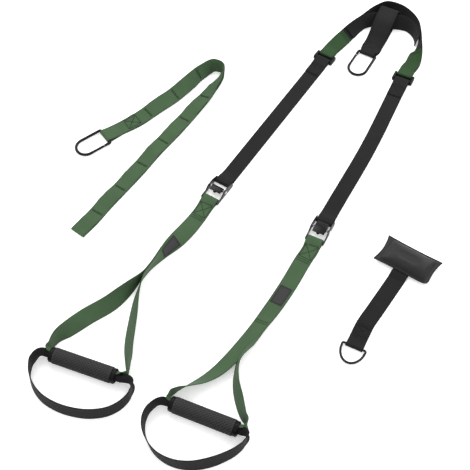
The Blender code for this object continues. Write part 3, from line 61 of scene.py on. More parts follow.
WEB_THICKNESS = 0.002
WEB_GAP = 0.0003
CLEARANCE = 0.0003
ANCHOR_WEB_WIDTH = 0.050
ANCHOR_EYE_WIDTH = 0.0385
OVERRUN = 0.010
ROW_PITCH = 0.0025
FINE_SPAN = 14
FINE_WRAP = 15
WEB_COLUMNS = 14
FLAT_CURL = 0.001
CORNER_STEPS = 8
CORNER_ARC_STEPS = 10
SMOOTH_ANGLE = 50
PLATE_ANGLE = 35
MERGE_REACH = 0.00001

# Thread, stitches and seams, with each stitch's stations, arch and size in shares
THREAD_RADIUS = 0.00055
THREAD_SIDES = 6
STITCH_LENGTH = 0.0038
STITCH_STATIONS = (0.06, 0.20, 0.50, 0.80, 0.94)
STITCH_ARCH = (-0.9, 0.35, 0.75, 0.35, -0.9)
STITCH_SIZES = (0.45, 0.92, 1.0, 0.92, 0.45)
PINCH_DEPTH = 0.00060
PINCH_SPREAD = 0.0016
RIPPLE_HEIGHT = 0.0001
RIPPLE_LENGTH = 0.060
RIPPLE_WAVES = 5
TUBE_SIDES = 24
LATHE_STEPS = 64
SELVEDGE = 0.0022
SEAM_INSET = 0.0035
BAR_STEP = 0.0055
BOX_START = 0.019
BOX_END = 0.056
SPLIT_BARS = 0.247
RETURN_BOX_SHARE = 0.58
DOOR_BAR_SHARE = 0.52
DOOR_BOX_SHARE = 0.5
EXTENSION_SEAM_SHARE = 0.37
EXTENSION_BOX_SHARES = (0.62, 0.24)
EXTENSION_PAIR_SHARE = 2.2
EXTENSION_PINCH_SHARES = (1.6, 1.7)
LABEL_PINCH_SHARE = 0.3
LABEL_SEAM = 0.0022
AT_ANCHOR_SEAM = 0.058
ANCHOR_SEAM_REACH = 0.036
EDGE_LIFT = 0.0007
EDGE_WAVE = 0.031

# Grip knurl
KNURL_ROWS = 170
KNURL_STEPS = 168
KNURL_STARTS = 16
KNURL_PITCH = 0.0072
KNURL_DEPTH = 0.0010
KNURL_SLOPE = 1.6
KNURL_LEAN = 1.4

# Pad cover and its filling
PAD_GRID = (56, 32)
PAD_START_SHARE = 0.86
PAD_PRESSURE = 3.0
PAD_STEPS = 16
PAD_MOVE = 0.0025
PAD_PUCKER = 0.0006
PIPING_POINTS = 160

# Finishes: pitches of the weaves, depths of the grains and points of noise in a metre
RIB_PITCH = 0.0019
CORD_SHARE = 1.25
PAD_WEAVE_PITCH = 0.0011
LABEL_WEAVE_PITCH = 0.0009
FUZZ_DEPTH = 0.00006
RIB_DEPTH = 0.00022
THREAD_DEPTH = 0.0001
METAL_DEPTH = 0.00004
PLASTIC_DEPTH = 0.00006
FOAM_DEPTH = 0.00020
CREASE_DEPTH = 0.0009
CLOTH_DEPTH = 0.00012
FUZZ_SCALE = 1600.0
WEB_PATCH_SCALE = 26.0
THREAD_SCALE = 2400.0
METAL_PATCH_SCALE = 55.0
METAL_GRAIN_SCALE = 420.0
PLASTIC_GRAIN_SCALE = 900.0
FOAM_GRAIN_SCALE = 700.0
PLASTIC_PATCH_SCALE = 30.0
CLOTH_PATCH_SCALE = 34.0
CREASE_SCALE = 90.0

# Camera, lights and floor
CAMERA_LENS = 76.1
CAMERA_PLACE = (0.64174, -1.22876, 1.86517)
CAMERA_AIM = (0.01274, -0.13876, 0.00017)
WORLD_STRENGTH = 1.08
FLOOR_GLOW = 0.36
FLOOR_TONES = (0.93, 0.96)
FLOOR_REACH = 6.0
LIGHTS_AIM = (0.0, -0.1, 0.0)
LIGHTS = (
    ("key", (-1.3, 0.9, 2.4), (1.6, 1.6), 34),
    ("rim", (0.9, 1.9, 1.5), (1.2, 0.5), 22),
)

# Layout on the floor, in the plan's own coordinates and in degrees
LEFT_SLIDER_PLACE = (-0.0738, 0.5885)
RIGHT_SLIDER_PLACE = (0.1307, 0.6241)
LEFT_LEG_TURN = -2.6
RIGHT_LEG_TURN = 3.5
EQUALIZER_PLACE = (0.030, 0.640)
CARABINER_PLACE = (0.0155, 0.6545)
EXTENSION_PLACE = (-0.4135, 0.090)
EXTENSION_TURN = -24.8
DOOR_PAD_PLACE = (0.3690, 0.127)
DOOR_PAD_TURN = -3.5
DOOR_RING_PLACE = (0.3600, -0.1225)
DOOR_RING_TURN = 3.5

# Legs
LEFT_LEG_LENGTH = 0.479
RIGHT_LEG_LENGTH = 0.496
RIGHT_LEG_BOW = 0.006
TAB_LENGTH = 0.096
TAB_LOOSENESS = 0.0011
TAB_LAYER_STEP = 0.0029
SEWN_FOLD = 0.058
SLIDER_RAMP = 0.024
LEG_END_STEP = 0.010
SEAM_GAP = 0.0009
EYE_TAPER = 0.018

# Equalizer: the band over the top and the lining under it, in shares of its height
EQUALIZER_HEIGHT = 0.190
LINING_LIFT = 0.0026
BAND_SHARES = (
    (-0.500, 0.079, -71), (-0.452, 0.274, -50), (-0.398, 0.500, -14), (-0.322, 0.808, 0),
    (-0.222, 0.965, 0), (-0.020, 1.004, 0), (0.168, 0.945, 0), (0.316, 0.837, 0),
    (0.421, 0.674, -2), (0.483, 0.500, -18), (0.523, 0.330, -53), (0.538, 0.190, -80),
)
LINING_SHARES = (
    (-0.452, 0.274, -50, 0.0, 1.0), (-0.412, 0.410, -28, 0.0, 1.2),
    (-0.350, 0.545, -20, 0.3, 0.6), (-0.262, 0.640, -34, 1.0, 0.0),
    (-0.130, 0.700, -42, 1.0, 0.0), (0.000, 0.745, -42, 1.0, 0.0),
    (0.089, 0.770, -34, 1.0, 0.0), (0.189, 0.774, -16, 0.3, 0.0),
    (0.295, 0.730, -10, 0.0, 0.0), (0.385, 0.640, -8, 0.0, 0.0),
    (0.428, 0.560, -12, 0.0, 0.0),
)

# Anchor strap
ANCHOR_LENGTH = 0.160
ANCHOR_LOOP_RADIUS = 0.0172
ANCHOR_DRIFT = 0.009
ANCHOR_CREST = 0.0354
ANCHOR_SEWN = 0.0042
ANCHOR_FLOOR_SHARES = (0.12, 0.3, 0.5, 0.7, 0.85, 1.0)
ANCHOR_RISE_SHARES = ((0.85, 1.0), (0.70, 0.92), (0.55, 0.60), (0.42, 0.27))
ANCHOR_SEWN_SHARES = (0.30, 0.16, 0.06)
ANCHOR_HOOD_SHARE = 0.8

# Cam buckle
BUCKLE_SPAN = 0.052
BUCKLE_NOSE = 0.008
BUCKLE_TAIL = 0.008
PLATE_THICKNESS = 0.0022
PLATE_SIDE_GAP = 0.0012
TOP_BAR_RADIUS = 0.0035
BOTTOM_BAR_RADIUS = 0.003
PLATE_HEIGHT = 0.0185
PLATE_LOW_HEIGHT = 0.0095
PLATE_FOOT = 0.0004
PLATE_EDGE_SHARE = 0.24
PLATE_RIM_SHARE = 0.20
PLATE_NOSE_SHARE = 0.62
PLATE_CREST_SHARE = 1.35
PLATE_REAR_SHARE = 0.80
PIVOT_DROP = 0.023
PIVOT_HEIGHT = 0.0105
PIVOT_RADIUS = 0.0020
PIVOT_HEAD_RADIUS = 0.0038
PIVOT_HEAD = 0.0014
PIVOT_CROWN = ((0, 0), (0.45, 0), (0.8, 0.12), (0.96, 0.38))
CAM_WIDTH = 0.0285
CAM_HUB_RADIUS = 0.0048
CAM_LIPS = {"left": 0.0125, "right": 0.0155}
CAM_KNOB = ((0, 1), (0.5, 0.97), (0.82, 0.86), (1, 0.62), (1, 0), (0, 0))
CAM_KNOB_SHARES = (1.5, 1.6)
CAM_BOSS = (0.42, 0.47, 0.51)
CAM_BOSS_SHARE = 0.9
CAM_EDGE_SHARE = 0.22
CAM_CROWN_SHARES = ((0.8, 1.30), (-0.3, 1.34))
CAM_LIP_SHARE = 0.7
CAM_LIP_DROPS = (0.8, 1.3)
CAM_HUB_ARC = (0.42, 0.82)
CAM_HUB_STEPS = 19
CAM_BITE_GAP = 0.0004
CAM_LIP_THICKNESS = 0.0026
CAM_TEETH = 6
CAM_TOOTH_DEPTH = 0.0009
SPRING_WIRE = 0.0005
SPRING_RADIUS = 0.0031
SPRING_TURNS = 2.5
SPRING_SPACING = 0.0015
SPRING_LEG = 0.0085

# Slider
SLIDER_WIDTH = 0.053
SLIDER_LENGTH = 0.026
SLIDER_BASE = 0.0012
SLIDER_BAR_RADIUS = 0.0016
SLIDER_BAR_OFFSET = 0.0078
SLIDER_SIDE_GAP = 0.0009
SLIDER_CORNER = 0.0022
SLIDER_RAIL_EDGE = 0.36

# Handles, with the strap routes in shares of the drop from the buckle's bottom bar to the grip
HANDLE_DROP = 0.500
GRIP_LENGTH = 0.146
GRIP_SHARE = 0.292
GRIP_RADIUS = 0.0175
GRIP_CORE_RADIUS = 0.0150
GRIP_BORE_RADIUS = 0.0130
GRIP_ROUND = 0.0022
GRIP_CORE_LIP = 0.0015
COLLAR_LENGTH = 0.007
COLLAR_RADIUS = 0.0165
COLLAR_GROOVE_SHARES = (0.35, 0.2)
MOUTH_CURL_SHARE = 0.75
EYE_SETTLE_SHARE = 0.86
LOOP_MOUTH_SHARES = (0.9, 1.5)
LOOP_END_CURL_SHARE = 0.45
HANDLE_CURL_RADIUS = 0.0114
LOOP_CURL_RADIUS = 0.0080
LEFT_GRIP_SHARES = (0.035, -1.010)
RIGHT_GRIP_SHARES = (-0.047, -0.992)
LEFT_GRIP_TURN = 12.2
RIGHT_GRIP_TURN = 4.0
LEFT_OUTER_SHARES = (
    (0.001, -0.045, 90, 1), (0.006, -0.124, 88, 1), (0.007, -0.266, 54, 1),
    (-0.003, -0.377, 12, 1), (-0.009, -0.477, -10, 1), (-0.010, -0.525, -8, 1),
    (-0.021, -0.590, 14, 0), (-0.049, -0.699, 50, 0), (-0.098, -0.812, 60, 0),
    (-0.124, -0.905, 40, 0), (-0.139, -0.968, 14, 0), (-0.134, -1.006, 3, 0),
)
LEFT_INNER_SHARES = (
    (0.001, -0.045, 90, -1), (0.006, -0.124, 88, -1), (0.007, -0.266, 54, -1),
    (-0.003, -0.377, 12, -1), (-0.009, -0.477, -10, -1), (-0.008, -0.525, -12, -1),
    (0.014, -0.590, -18, 0), (0.080, -0.725, -34, 0), (0.140, -0.835, -34, 0),
    (0.192, -0.908, -20, 0), (0.214, -0.944, -5, 0),
)
RIGHT_OUTER_SHARES = (
    (0.001, -0.045, -90, 1), (-0.004, -0.124, -90, 1), (-0.009, -0.276, -88, 1),
    (-0.020, -0.414, -80, 1), (-0.033, -0.520, -68, 1), (-0.050, -0.612, -64, 0.6),
    (-0.074, -0.721, -66, 0), (-0.094, -0.785, -60, 0), (-0.124, -0.845, -48, 0),
    (-0.166, -0.900, -28, 0), (-0.203, -0.945, -8, 0), (-0.213, -0.972, 0, 0),
)
RIGHT_INNER_SHARES = (
    (0.001, -0.045, -90, -1), (-0.004, -0.124, -90, -1), (-0.009, -0.276, -88, -1),
    (-0.020, -0.414, -80, -1), (-0.033, -0.520, -68, -1), (-0.034, -0.612, -50, -1),
    (-0.030, -0.727, -14, 0), (-0.004, -0.795, -18, 0), (0.047, -0.866, -24, 0),
    (0.094, -0.920, -14, 0), (0.120, -0.944, -4, 0),
)
LEFT_LOOP_SHARES = (
    (-0.142, -1.067, 0), (-0.158, -1.097, 2), (-0.138, -1.145, -2), (-0.087, -1.191, -5),
    (-0.022, -1.216, -6), (0.054, -1.217, -6), (0.122, -1.201, -6), (0.191, -1.168, -6),
    (0.246, -1.118, -4), (0.273, -1.060, -2), (0.273, -1.008, 0), (0.248, -0.975, 0),
)
RIGHT_LOOP_SHARES = (
    (-0.231, -1.026, 0), (-0.258, -1.054, 2), (-0.260, -1.098, 6), (-0.243, -1.141, 7),
    (-0.200, -1.186, 6), (-0.149, -1.214, 3), (-0.079, -1.222, -2), (-0.008, -1.203, -7),
    (0.049, -1.165, -10), (0.098, -1.115, -8), (0.134, -1.062, -4), (0.147, -1.022, 0),
    (0.138, -0.993, 0),
)
LABEL_THICKNESS = 0.0006
LABEL_INSET = 0.0045
LABEL_START_SHARE = 0.285
LABEL_END_SHARE = 0.385

# Carabiners
ROD_RADIUS = 0.0034
CARABINER_WIDTH = 0.054
CARABINER_LENGTH = 0.082
CARABINER_CORNER = 0.0040
GATE_RADIUS = 0.0030
GATE_START = 0.013
GATE_LENGTH = 0.036
GATE_PIN_RADIUS = 0.0011
GATE_TONGUE = 0.0024
GATE_PIVOT = 0.0055
GATE_END_GAP = 0.0007
GATE_SHARES = (0.3, 0.6, 0.94)
GATE_EDGE_SHARES = (0.90, 0.03)
ROD_END_SHARE = 0.86
TONGUE_EDGE_SHARE = 0.2
PRONG_END_SHARES = (0.1, 0.93)
RIVET_REACH_SHARE = 1.02
RIVET_HEAD_SHARE = 1.35
RIVET_SHARES = (-1, -0.86, -0.84, 0.84, 0.86, 1)

# Extension strap, with its route in shares of its reach
EXTENSION_REACH = 0.520
STITCH_SPACING = 0.085
PUFF_HEIGHT = 0.0028
EXTENSION_SHARES = (
    (0.028, 0.072, -90), (0.066, 0.144, -86), (0.111, 0.273, -74), (0.147, 0.375, -62),
    (0.168, 0.462, -46), (0.192, 0.560, -26), (0.222, 0.622, -6), (0.262, 0.626, -2),
    (0.286, 0.566, -34), (0.280, 0.462, -66), (0.267, 0.325, -84), (0.255, 0.183, -90),
    (0.241, 0.035, -88), (0.235, -0.078, -90), (0.226, -0.198, -88), (0.214, -0.315, -90),
    (0.207, -0.430, -90), (0.196, -0.510, -90),
)

# Door anchor
PAD_LENGTH = 0.134
PAD_WIDTH = 0.072
PAD_CROWN = 0.0150
PAD_BASE_CROWN = 0.0085
PAD_RIM = 0.0012
PAD_HEM_SHARE = 0.085
PAD_EDGE_SHARE = 0.864
PAD_DRAW_SHARES = (0.085, 0.050)
PAD_TUCK_SHARE = 0.13
PAD_TUCK_POWER = 5
PAD_SWELL_POWERS = (4, 2.4)
PAD_RIM_SHARE = 0.8
PAD_PUCKER_SHARE = 0.30
PIPING_SHARE = 0.85
PAD_FLAT = 0.0005
DOOR_STRAP_WIDTH = 0.0385
DOOR_STRAP_LENGTH = 0.2162
DOOR_STRAP_DRIFT = 0.021
DOOR_STRAP_RISE = 0.016
DOOR_FOLD = 0.062
DOOR_SETTLE_SHARE = 0.4
DOOR_BACK_SHARES = (0.25, 0.45)
RING_WIRE = 0.0026
RING_WIDTH = 0.058
RING_DEPTH = 0.042
RING_CORNER = 0.003
RING_WELD = (1, 1, 1, 1, 0.99, 1.06, 0.99, 1, 1, 1, 1)

# Sizes that follow from the ones above
LAYER_STEP = WEB_THICKNESS + WEB_GAP
FLOOR_CENTRE = WEB_THICKNESS / 2
TOP_WRAP_RADIUS = TOP_BAR_RADIUS + CLEARANCE + WEB_THICKNESS / 2
TOP_BAR_HEIGHT = FLOOR_CENTRE + TOP_WRAP_RADIUS
EYE_RADIUS = BOTTOM_BAR_RADIUS + CLEARANCE + WEB_THICKNESS / 2
BOTTOM_BAR_HEIGHT = FLOOR_CENTRE + EYE_RADIUS
SLIDER_RUN_HEIGHT = SLIDER_BASE + CLEARANCE + WEB_THICKNESS / 2
SLIDER_WRAP_RADIUS = SLIDER_BAR_RADIUS + CLEARANCE + WEB_THICKNESS / 2
SLIDER_BAR_HEIGHT = SLIDER_RUN_HEIGHT + LAYER_STEP + SLIDER_WRAP_RADIUS
SLIDER_HEIGHT = SLIDER_BAR_HEIGHT + SLIDER_BAR_RADIUS + CLEARANCE
ROD_WRAP_RADIUS = ROD_RADIUS + CLEARANCE + WEB_THICKNESS / 2
ROD_HEIGHT = FLOOR_CENTRE + ROD_WRAP_RADIUS
RING_WRAP_RADIUS = RING_WIRE + CLEARANCE + WEB_THICKNESS / 2
RING_HEIGHT = FLOOR_CENTRE + RING_WRAP_RADIUS
PLATE_INNER = WEB_WIDTH / 2 + PLATE_SIDE_GAP
PLATE_OUTER = PLATE_INNER + PLATE_THICKNESS
BLACK = (0, 0, 0)
WHITE = (1, 1, 1)
UP = np.array((0.0, 0.0, 1.0))
ACROSS = (1.0, 0.0, 0.0)
AROUND = 360.0
QUARTER = AROUND / 4
SIDES = ("left", "right")
HANDLES = {
    "left": (LEFT_OUTER_SHARES, LEFT_INNER_SHARES, LEFT_LOOP_SHARES, LEFT_GRIP_SHARES,
             LEFT_GRIP_TURN),
    "right": (RIGHT_OUTER_SHARES, RIGHT_INNER_SHARES, RIGHT_LOOP_SHARES, RIGHT_GRIP_SHARES,
              RIGHT_GRIP_TURN),
}


def flat_turn(turn):
    return Matrix.Rotation(math.radians(turn), 4, "Z")


def joint_place(name):
    """A hinge's place, from the part's own record."""
    found = [joint for joint in frame["joints"] if joint["name"] == name]
    return Vector(found[0]["pos_m"])


def floor_frame(place, turn=0.0):
    """A frame on the floor, in the plan's coordinates."""
    return Matrix.Translation((*place, 0)) @ flat_turn(turn)


def moved(place, x, y, z):
    """A frame moved along its own axes."""
    return place @ Matrix.Translation((x, y, z))


def leg_frame(place, turn, length):
    """A leg's frame at the buckle's top bar, its length below the slider's place."""
    return moved(floor_frame(place, turn), 0, -length, 0)


LEGS = {
    "left": (leg_frame(LEFT_SLIDER_PLACE, LEFT_LEG_TURN, LEFT_LEG_LENGTH), LEFT_LEG_LENGTH, 0.0),
    "right": (leg_frame(RIGHT_SLIDER_PLACE, RIGHT_LEG_TURN, RIGHT_LEG_LENGTH), RIGHT_LEG_LENGTH,
              RIGHT_LEG_BOW),
}

# The plan's own origin in the part's frame, read from the left handle's hinge
HINGE_LOCAL = LEGS["left"][0] @ Vector((0, -BUCKLE_SPAN, BOTTOM_BAR_HEIGHT))
KIT_PLACE = joint_place("handle_swing_left") - HINGE_LOCAL
KIT = Matrix.Translation(KIT_PLACE)


def handle_frame(side):
    return moved(LEGS[side][0], 0, -BUCKLE_SPAN, 0)


def grip_frame(side):
    """The grip's frame: x along the grip, in the handle's own coordinates."""
    share_x, share_y = HANDLES[side][3]
    spot = Matrix.Translation((share_x * HANDLE_DROP, share_y * HANDLE_DROP, GRIP_RADIUS))
    return spot @ flat_turn(HANDLES[side][4])


# Routes of the straps, laid as rows of centre, side, curl and width

def smooth_track(knots, per_span, axes):
    """Cubic rows through the knots, whose first columns are a place in that many axes."""
    knots = np.array(knots, float)
    pace = np.linalg.norm(np.diff(knots[:, :axes], axis=0), axis=1)
    slopes = np.gradient(knots, np.concatenate(([0], np.cumsum(pace))), axis=0)
    rows = []
    for index, gap in enumerate(pace):
        for share in np.arange(per_span) / per_span:
            rest = 1 - share
            rows.append(
                knots[index] * rest * rest * (1 + 2 * share)
                + knots[index + 1] * share * share * (3 - 2 * share)
                + slopes[index] * gap * share * rest * rest
                - slopes[index + 1] * gap * share * share * rest)
    rows.append(knots[-1])
    return np.array(rows)


def floor_rows(knots, per_span=FINE_SPAN):
    """Rows of a band on the floor, from knots of x, y, lean, lift, offset and curl."""
    track = smooth_track(knots, per_span, 2)
    curls = [knot[-1] for knot in knots]
    track[:, -1] = np.clip(track[:, -1], min(curls), max(curls))
    heading = np.gradient(track[:, :2], axis=0)
    rows = []
    for (x, y, lean, lift, offset, curl), (head_x, head_y) in zip(track, heading):
        along = np.array((head_x, head_y, 0)) / math.hypot(head_x, head_y)
        tilt = math.radians(lean)
        side = np.cross(along, UP) * math.sin(tilt) + UP * math.cos(tilt)
        rest = WEB_WIDTH / 2 * abs(math.cos(tilt)) + FLOOR_CENTRE * abs(math.sin(tilt))
        centre = np.array((x, y, rest + lift)) + np.cross(along, side) * offset
        rows.append((centre, side, math.radians(curl), WEB_WIDTH))
    return rows


def spine_rows(knots, side):
    """Rows of a band that bends up and down, from knots of x, y, z and width."""
    track = smooth_track(knots, FINE_SPAN, 3)
    track[:, 2] = np.maximum(track[:, 2], min(knot[2] for knot in knots))
    return [(row[:3], np.array(side, float), 0.0, row[3]) for row in track]


def wrap_rows(centre, radius, start, end, side, width=WEB_WIDTH):
    """Rows round a bar along x: the angle turns from +y to +z."""
    rows = []
    for angle in np.radians(np.linspace(start, end, FINE_WRAP)):
        spoke = np.array((0, math.cos(angle), math.sin(angle))) * radius
        rows.append((np.array(centre, float) + spoke, np.array(side, float), 0.0, width))
    return rows


def leg_knots(length, bow, heights):
    """Knots along a leg from places up the leg and heights; the leg bows to one side."""
    knots = []
    for place, height in heights:
        share = min(max(place / length, 0.0), 1.0)
        knots.append((bow * math.sin(math.pi * share) ** 2, place, height, WEB_WIDTH))
    return knots


def straight_places(first, last, count):
    """Evenly spread places between two ends, both left out."""
    return [first + (last - first) * step / (count + 1) for step in range(1, count + 1)]


def leg_strap_rows(side):
    _, length, bow = LEGS[side]
    ramp_start = length - SLIDER_LENGTH / 2 - SLIDER_RAMP
    heights = [(0.0, FLOOR_CENTRE), (OVERRUN, FLOOR_CENTRE)]
    heights += [(place, FLOOR_CENTRE) for place in straight_places(OVERRUN, ramp_start, 5)]
    heights += [(ramp_start, FLOOR_CENTRE), (length - SLIDER_LENGTH / 2, SLIDER_RUN_HEIGHT)]
    heights += [(length + SLIDER_LENGTH / 2, SLIDER_RUN_HEIGHT)]
    heights += [(length + SLIDER_LENGTH / 2 + LEG_END_STEP - SEAM_GAP, SLIDER_RUN_HEIGHT)]
    return spine_rows(leg_knots(length, bow, heights), ACROSS)


def return_strap_rows(side):
    _, length, bow = LEGS[side]
    gap_angle = math.degrees(WEB_GAP / TOP_WRAP_RADIUS)
    rows = wrap_rows((0, 0, TOP_BAR_HEIGHT), TOP_WRAP_RADIUS, -QUARTER - gap_angle,
                     -QUARTER * 3, ACROSS)
    over = TOP_BAR_HEIGHT + TOP_WRAP_RADIUS
    resting = FLOOR_CENTRE + LAYER_STEP
    bar_place = length - SLIDER_BAR_OFFSET
    ramp_start = length - SLIDER_LENGTH / 2 - SLIDER_RAMP
    fold_end = bar_place - SEWN_FOLD
    heights = [(0.0, over), (OVERRUN, over - LAYER_STEP / 4), (OVERRUN * 2.5, resting + LAYER_STEP)]
    heights += [(OVERRUN * 4, resting), (OVERRUN * 5, resting)]
    heights += [(place, resting) for place in straight_places(OVERRUN * 5, fold_end, 4)]
    heights += [(fold_end, resting), (ramp_start, resting)]
    under = SLIDER_BAR_HEIGHT - SLIDER_WRAP_RADIUS
    heights += [(length - SLIDER_LENGTH / 2 - OVERRUN / 2, under), (bar_place, under)]
    rows += spine_rows(leg_knots(length, bow, heights), ACROSS)[1:]
    rows += wrap_rows((0, bar_place, SLIDER_BAR_HEIGHT), SLIDER_WRAP_RADIUS, -QUARTER,
                      QUARTER, ACROSS)[1:]
    fold = resting + LAYER_STEP
    heights = [(bar_place, SLIDER_BAR_HEIGHT + SLIDER_WRAP_RADIUS)]
    heights += [(length - SLIDER_LENGTH / 2 - SLIDER_RAMP / 2, fold + LAYER_STEP)]
    heights += [(ramp_start - OVERRUN / 2, fold), (fold_end, fold)]
    rows += spine_rows(leg_knots(length, bow, heights), ACROSS)[1:]
    return rows


def equalizer_knots(offset=0.0):
    """The band from the left leg over the arch to the right leg."""
    ends = []
    for side in SIDES:
        leg, length, _ = LEGS[side]
        start = length + SLIDER_LENGTH / 2 + LEG_END_STEP
        lift = SLIDER_RUN_HEIGHT - FLOOR_CENTRE
        for place, share in ((start, 1.0), (start + LEG_END_STEP, 0.4)):
            spot = leg @ Vector((0, place, 0))
            ends.append((spot.x, spot.y, -QUARTER, lift * share, offset, 0.0))
    middle = []
    for x, y, lean in BAND_SHARES:
        middle.append((EQUALIZER_PLACE[0] + x * EQUALIZER_HEIGHT,
                       EQUALIZER_PLACE[1] + y * EQUALIZER_HEIGHT, lean, 0.0, offset, 0.0))
    return ends[:2] + middle + [ends[3], ends[2]]


def lining_rows():
    knots = []
    for x, y, lean, lift, layer in LINING_SHARES:
        knots.append((EQUALIZER_PLACE[0] + x * EQUALIZER_HEIGHT,
                      EQUALIZER_PLACE[1] + y * EQUALIZER_HEIGHT, lean, LINING_LIFT * lift,
                      (WEB_THICKNESS + TAB_LOOSENESS) * layer, 0.0))
    return floor_rows(knots)


def anchor_rows():
    """Round the lining at the strap's top and round the carabiner's bar at its foot."""
    loop_top = ANCHOR_LENGTH - ANCHOR_LOOP_RADIUS
    top_side = (math.cos(ANCHOR_DRIFT / ANCHOR_LENGTH), math.sin(ANCHOR_DRIFT / ANCHOR_LENGTH), 0)

    def spot(share, height, width=ANCHOR_WEB_WIDTH):
        return (-ANCHOR_DRIFT * share ** 2, loop_top * share, height, width)

    lower = [spot(0.0, FLOOR_CENTRE, ANCHOR_EYE_WIDTH)]
    lower += [spot(share, FLOOR_CENTRE) for share in ANCHOR_FLOOR_SHARES]
    loop_centre = (-ANCHOR_DRIFT, loop_top, FLOOR_CENTRE + ANCHOR_LOOP_RADIUS)
    turn = wrap_rows(loop_centre, ANCHOR_LOOP_RADIUS, -QUARTER, QUARTER, top_side,
                     width=ANCHOR_WEB_WIDTH)
    upper = [spot(1.0, FLOOR_CENTRE + ANCHOR_LOOP_RADIUS * 2)]
    upper += [spot(share, ANCHOR_CREST * rise) for share, rise in ANCHOR_RISE_SHARES]
    seam, taper, hood = ANCHOR_SEWN_SHARES
    upper += [spot(seam, ANCHOR_SEWN), spot(taper, ANCHOR_SEWN + LAYER_STEP / 2)]
    upper += [spot(hood, ROD_HEIGHT + ROD_WRAP_RADIUS * ANCHOR_HOOD_SHARE,
                   ANCHOR_EYE_WIDTH + WEB_THICKNESS)]
    upper += [spot(0.0, ROD_HEIGHT + ROD_WRAP_RADIUS, ANCHOR_EYE_WIDTH)]
    rows = spine_rows(lower, ACROSS)[:-1] + turn[:-1] + spine_rows(upper, ACROSS)[:-1]
    gap_angle = math.degrees(WEB_GAP / ROD_WRAP_RADIUS)
    rows += wrap_rows((0, 0, ROD_HEIGHT), ROD_WRAP_RADIUS, QUARTER, QUARTER * 3 - gap_angle,
                      ACROSS, width=ANCHOR_EYE_WIDTH)
    return rows


def tab_rows(side):
    """The pull tab's two layers over the twisting band, folded round the slider's upper bar."""
    leg, length, _ = LEGS[side]
    bar_place = length + SLIDER_BAR_OFFSET
    layers = []
    for step in (0, 1):
        rise = WEB_THICKNESS + TAB_LOOSENESS + TAB_LAYER_STEP * step
        rows = floor_rows(equalizer_knots(rise))
        if side == "right":
            rows = rows[::-1]
        travelled = 0.0
        kept = [rows[0]]
        for row in rows[1:]:
            travelled += np.linalg.norm(row[0] - kept[-1][0])
            if travelled > TAB_LENGTH - SLIDER_LENGTH:
                break
            kept.append(row)
        layers.append(kept)
    back = leg.inverted()
    local = []
    for rows in layers:
        local.append([(np.array(back @ Vector(c)), np.array(back.to_3x3() @ Vector(s)), 0.0, w)
                      for c, s, _, w in rows])
    lower_end, upper_end = local[0][0][0], local[1][0][0]
    under = SLIDER_BAR_HEIGHT - SLIDER_WRAP_RADIUS
    over = SLIDER_BAR_HEIGHT + SLIDER_WRAP_RADIUS
    wrap = wrap_rows((0, bar_place, SLIDER_BAR_HEIGHT), SLIDER_WRAP_RADIUS, -QUARTER,
                     -QUARTER * 3, ACROSS)
    into = spine_rows([(*lower_end, WEB_WIDTH), (0, bar_place, under, WEB_WIDTH)], ACROSS)
    out = spine_rows([(0, bar_place, over, WEB_WIDTH), (*upper_end, WEB_WIDTH)], ACROSS)
    return local[0][:0:-1] + into[:-1] + wrap[:-1] + out[:-1] + local[1]


def across_place(side, share):
    """A place across the leg beside the grip, which follows the grip's length."""
    middle = HANDLES[side][3][0]
    return middle * HANDLE_DROP + (share - middle) * GRIP_LENGTH / GRIP_SHARE


def strap_knots(side, shares):
    """A handle layer's knots: the doubled part, then one branch, then the way into the grip."""
    knots = []
    for x, y, lean, layer in shares:
        half = LAYER_STEP / 2 * layer
        lift = abs(half) * abs(math.sin(math.radians(lean)))
        across = x * HANDLE_DROP if layer else across_place(side, x)
        knots.append((across, y * HANDLE_DROP, lean, lift, half, 0.0))
    return knots


def grip_knots(side, end, offset, curl, places):
    """Knots in the grip's bore, from its mouth to its middle; end is -1 or 1."""
    spot = grip_frame(side)
    knots = []
    for place, share in places:
        at = spot @ Vector((end * place, offset, 0))
        knots.append((at.x, at.y, 0.0, GRIP_RADIUS - WEB_WIDTH / 2, 0.0, curl * share))
    return knots


def handle_rows(side):
    """One webbing: doubled from the buckle, split into two branches and run through the grip."""
    outer_shares, inner_shares = HANDLES[side][:2]
    lean = outer_shares[0][2]
    curl = math.copysign(math.degrees(WEB_WIDTH / HANDLE_CURL_RADIUS), lean)
    mouth = GRIP_LENGTH / 2
    inside = [(mouth + COLLAR_LENGTH, MOUTH_CURL_SHARE)]
    inside += [(place, 1.0) for place in (mouth, mouth / 2, 0.0)]
    layers = []
    for shares, end in ((outer_shares, -1), (inner_shares, 1)):
        knots = strap_knots(side, shares)
        knots += grip_knots(side, end, HANDLE_CURL_RADIUS, curl, inside)
        layers.append(knots)
    over = BOTTOM_BAR_HEIGHT + EYE_RADIUS - FLOOR_CENTRE - LAYER_STEP / 2
    under_first = lean > 0
    ends = []
    for shares, knots, is_under in ((outer_shares, layers[0], under_first),
                                    (inner_shares, layers[1], not under_first)):
        half = LAYER_STEP / 2 * shares[0][3]
        if is_under:
            head = [(0.0, -WEB_GAP, lean, LAYER_STEP / 2, half, 0.0)]
        else:
            head = [(0.0, 0.0, lean, over, half, 0.0),
                    (0.0, -EYE_TAPER / 3, lean, over * EYE_SETTLE_SHARE, half, 0.0),
                    (0.0, -EYE_TAPER, lean, LAYER_STEP, half, 0.0)]
        ends.append(floor_rows(head + knots))
    under, upper = (ends[0], ends[1]) if under_first else (ends[1], ends[0])
    eye = wrap_rows((0, 0, BOTTOM_BAR_HEIGHT), EYE_RADIUS, QUARTER, -QUARTER, ACROSS)
    return under[:-1] + upper[::-1] + eye[1:], len(eye) - 1


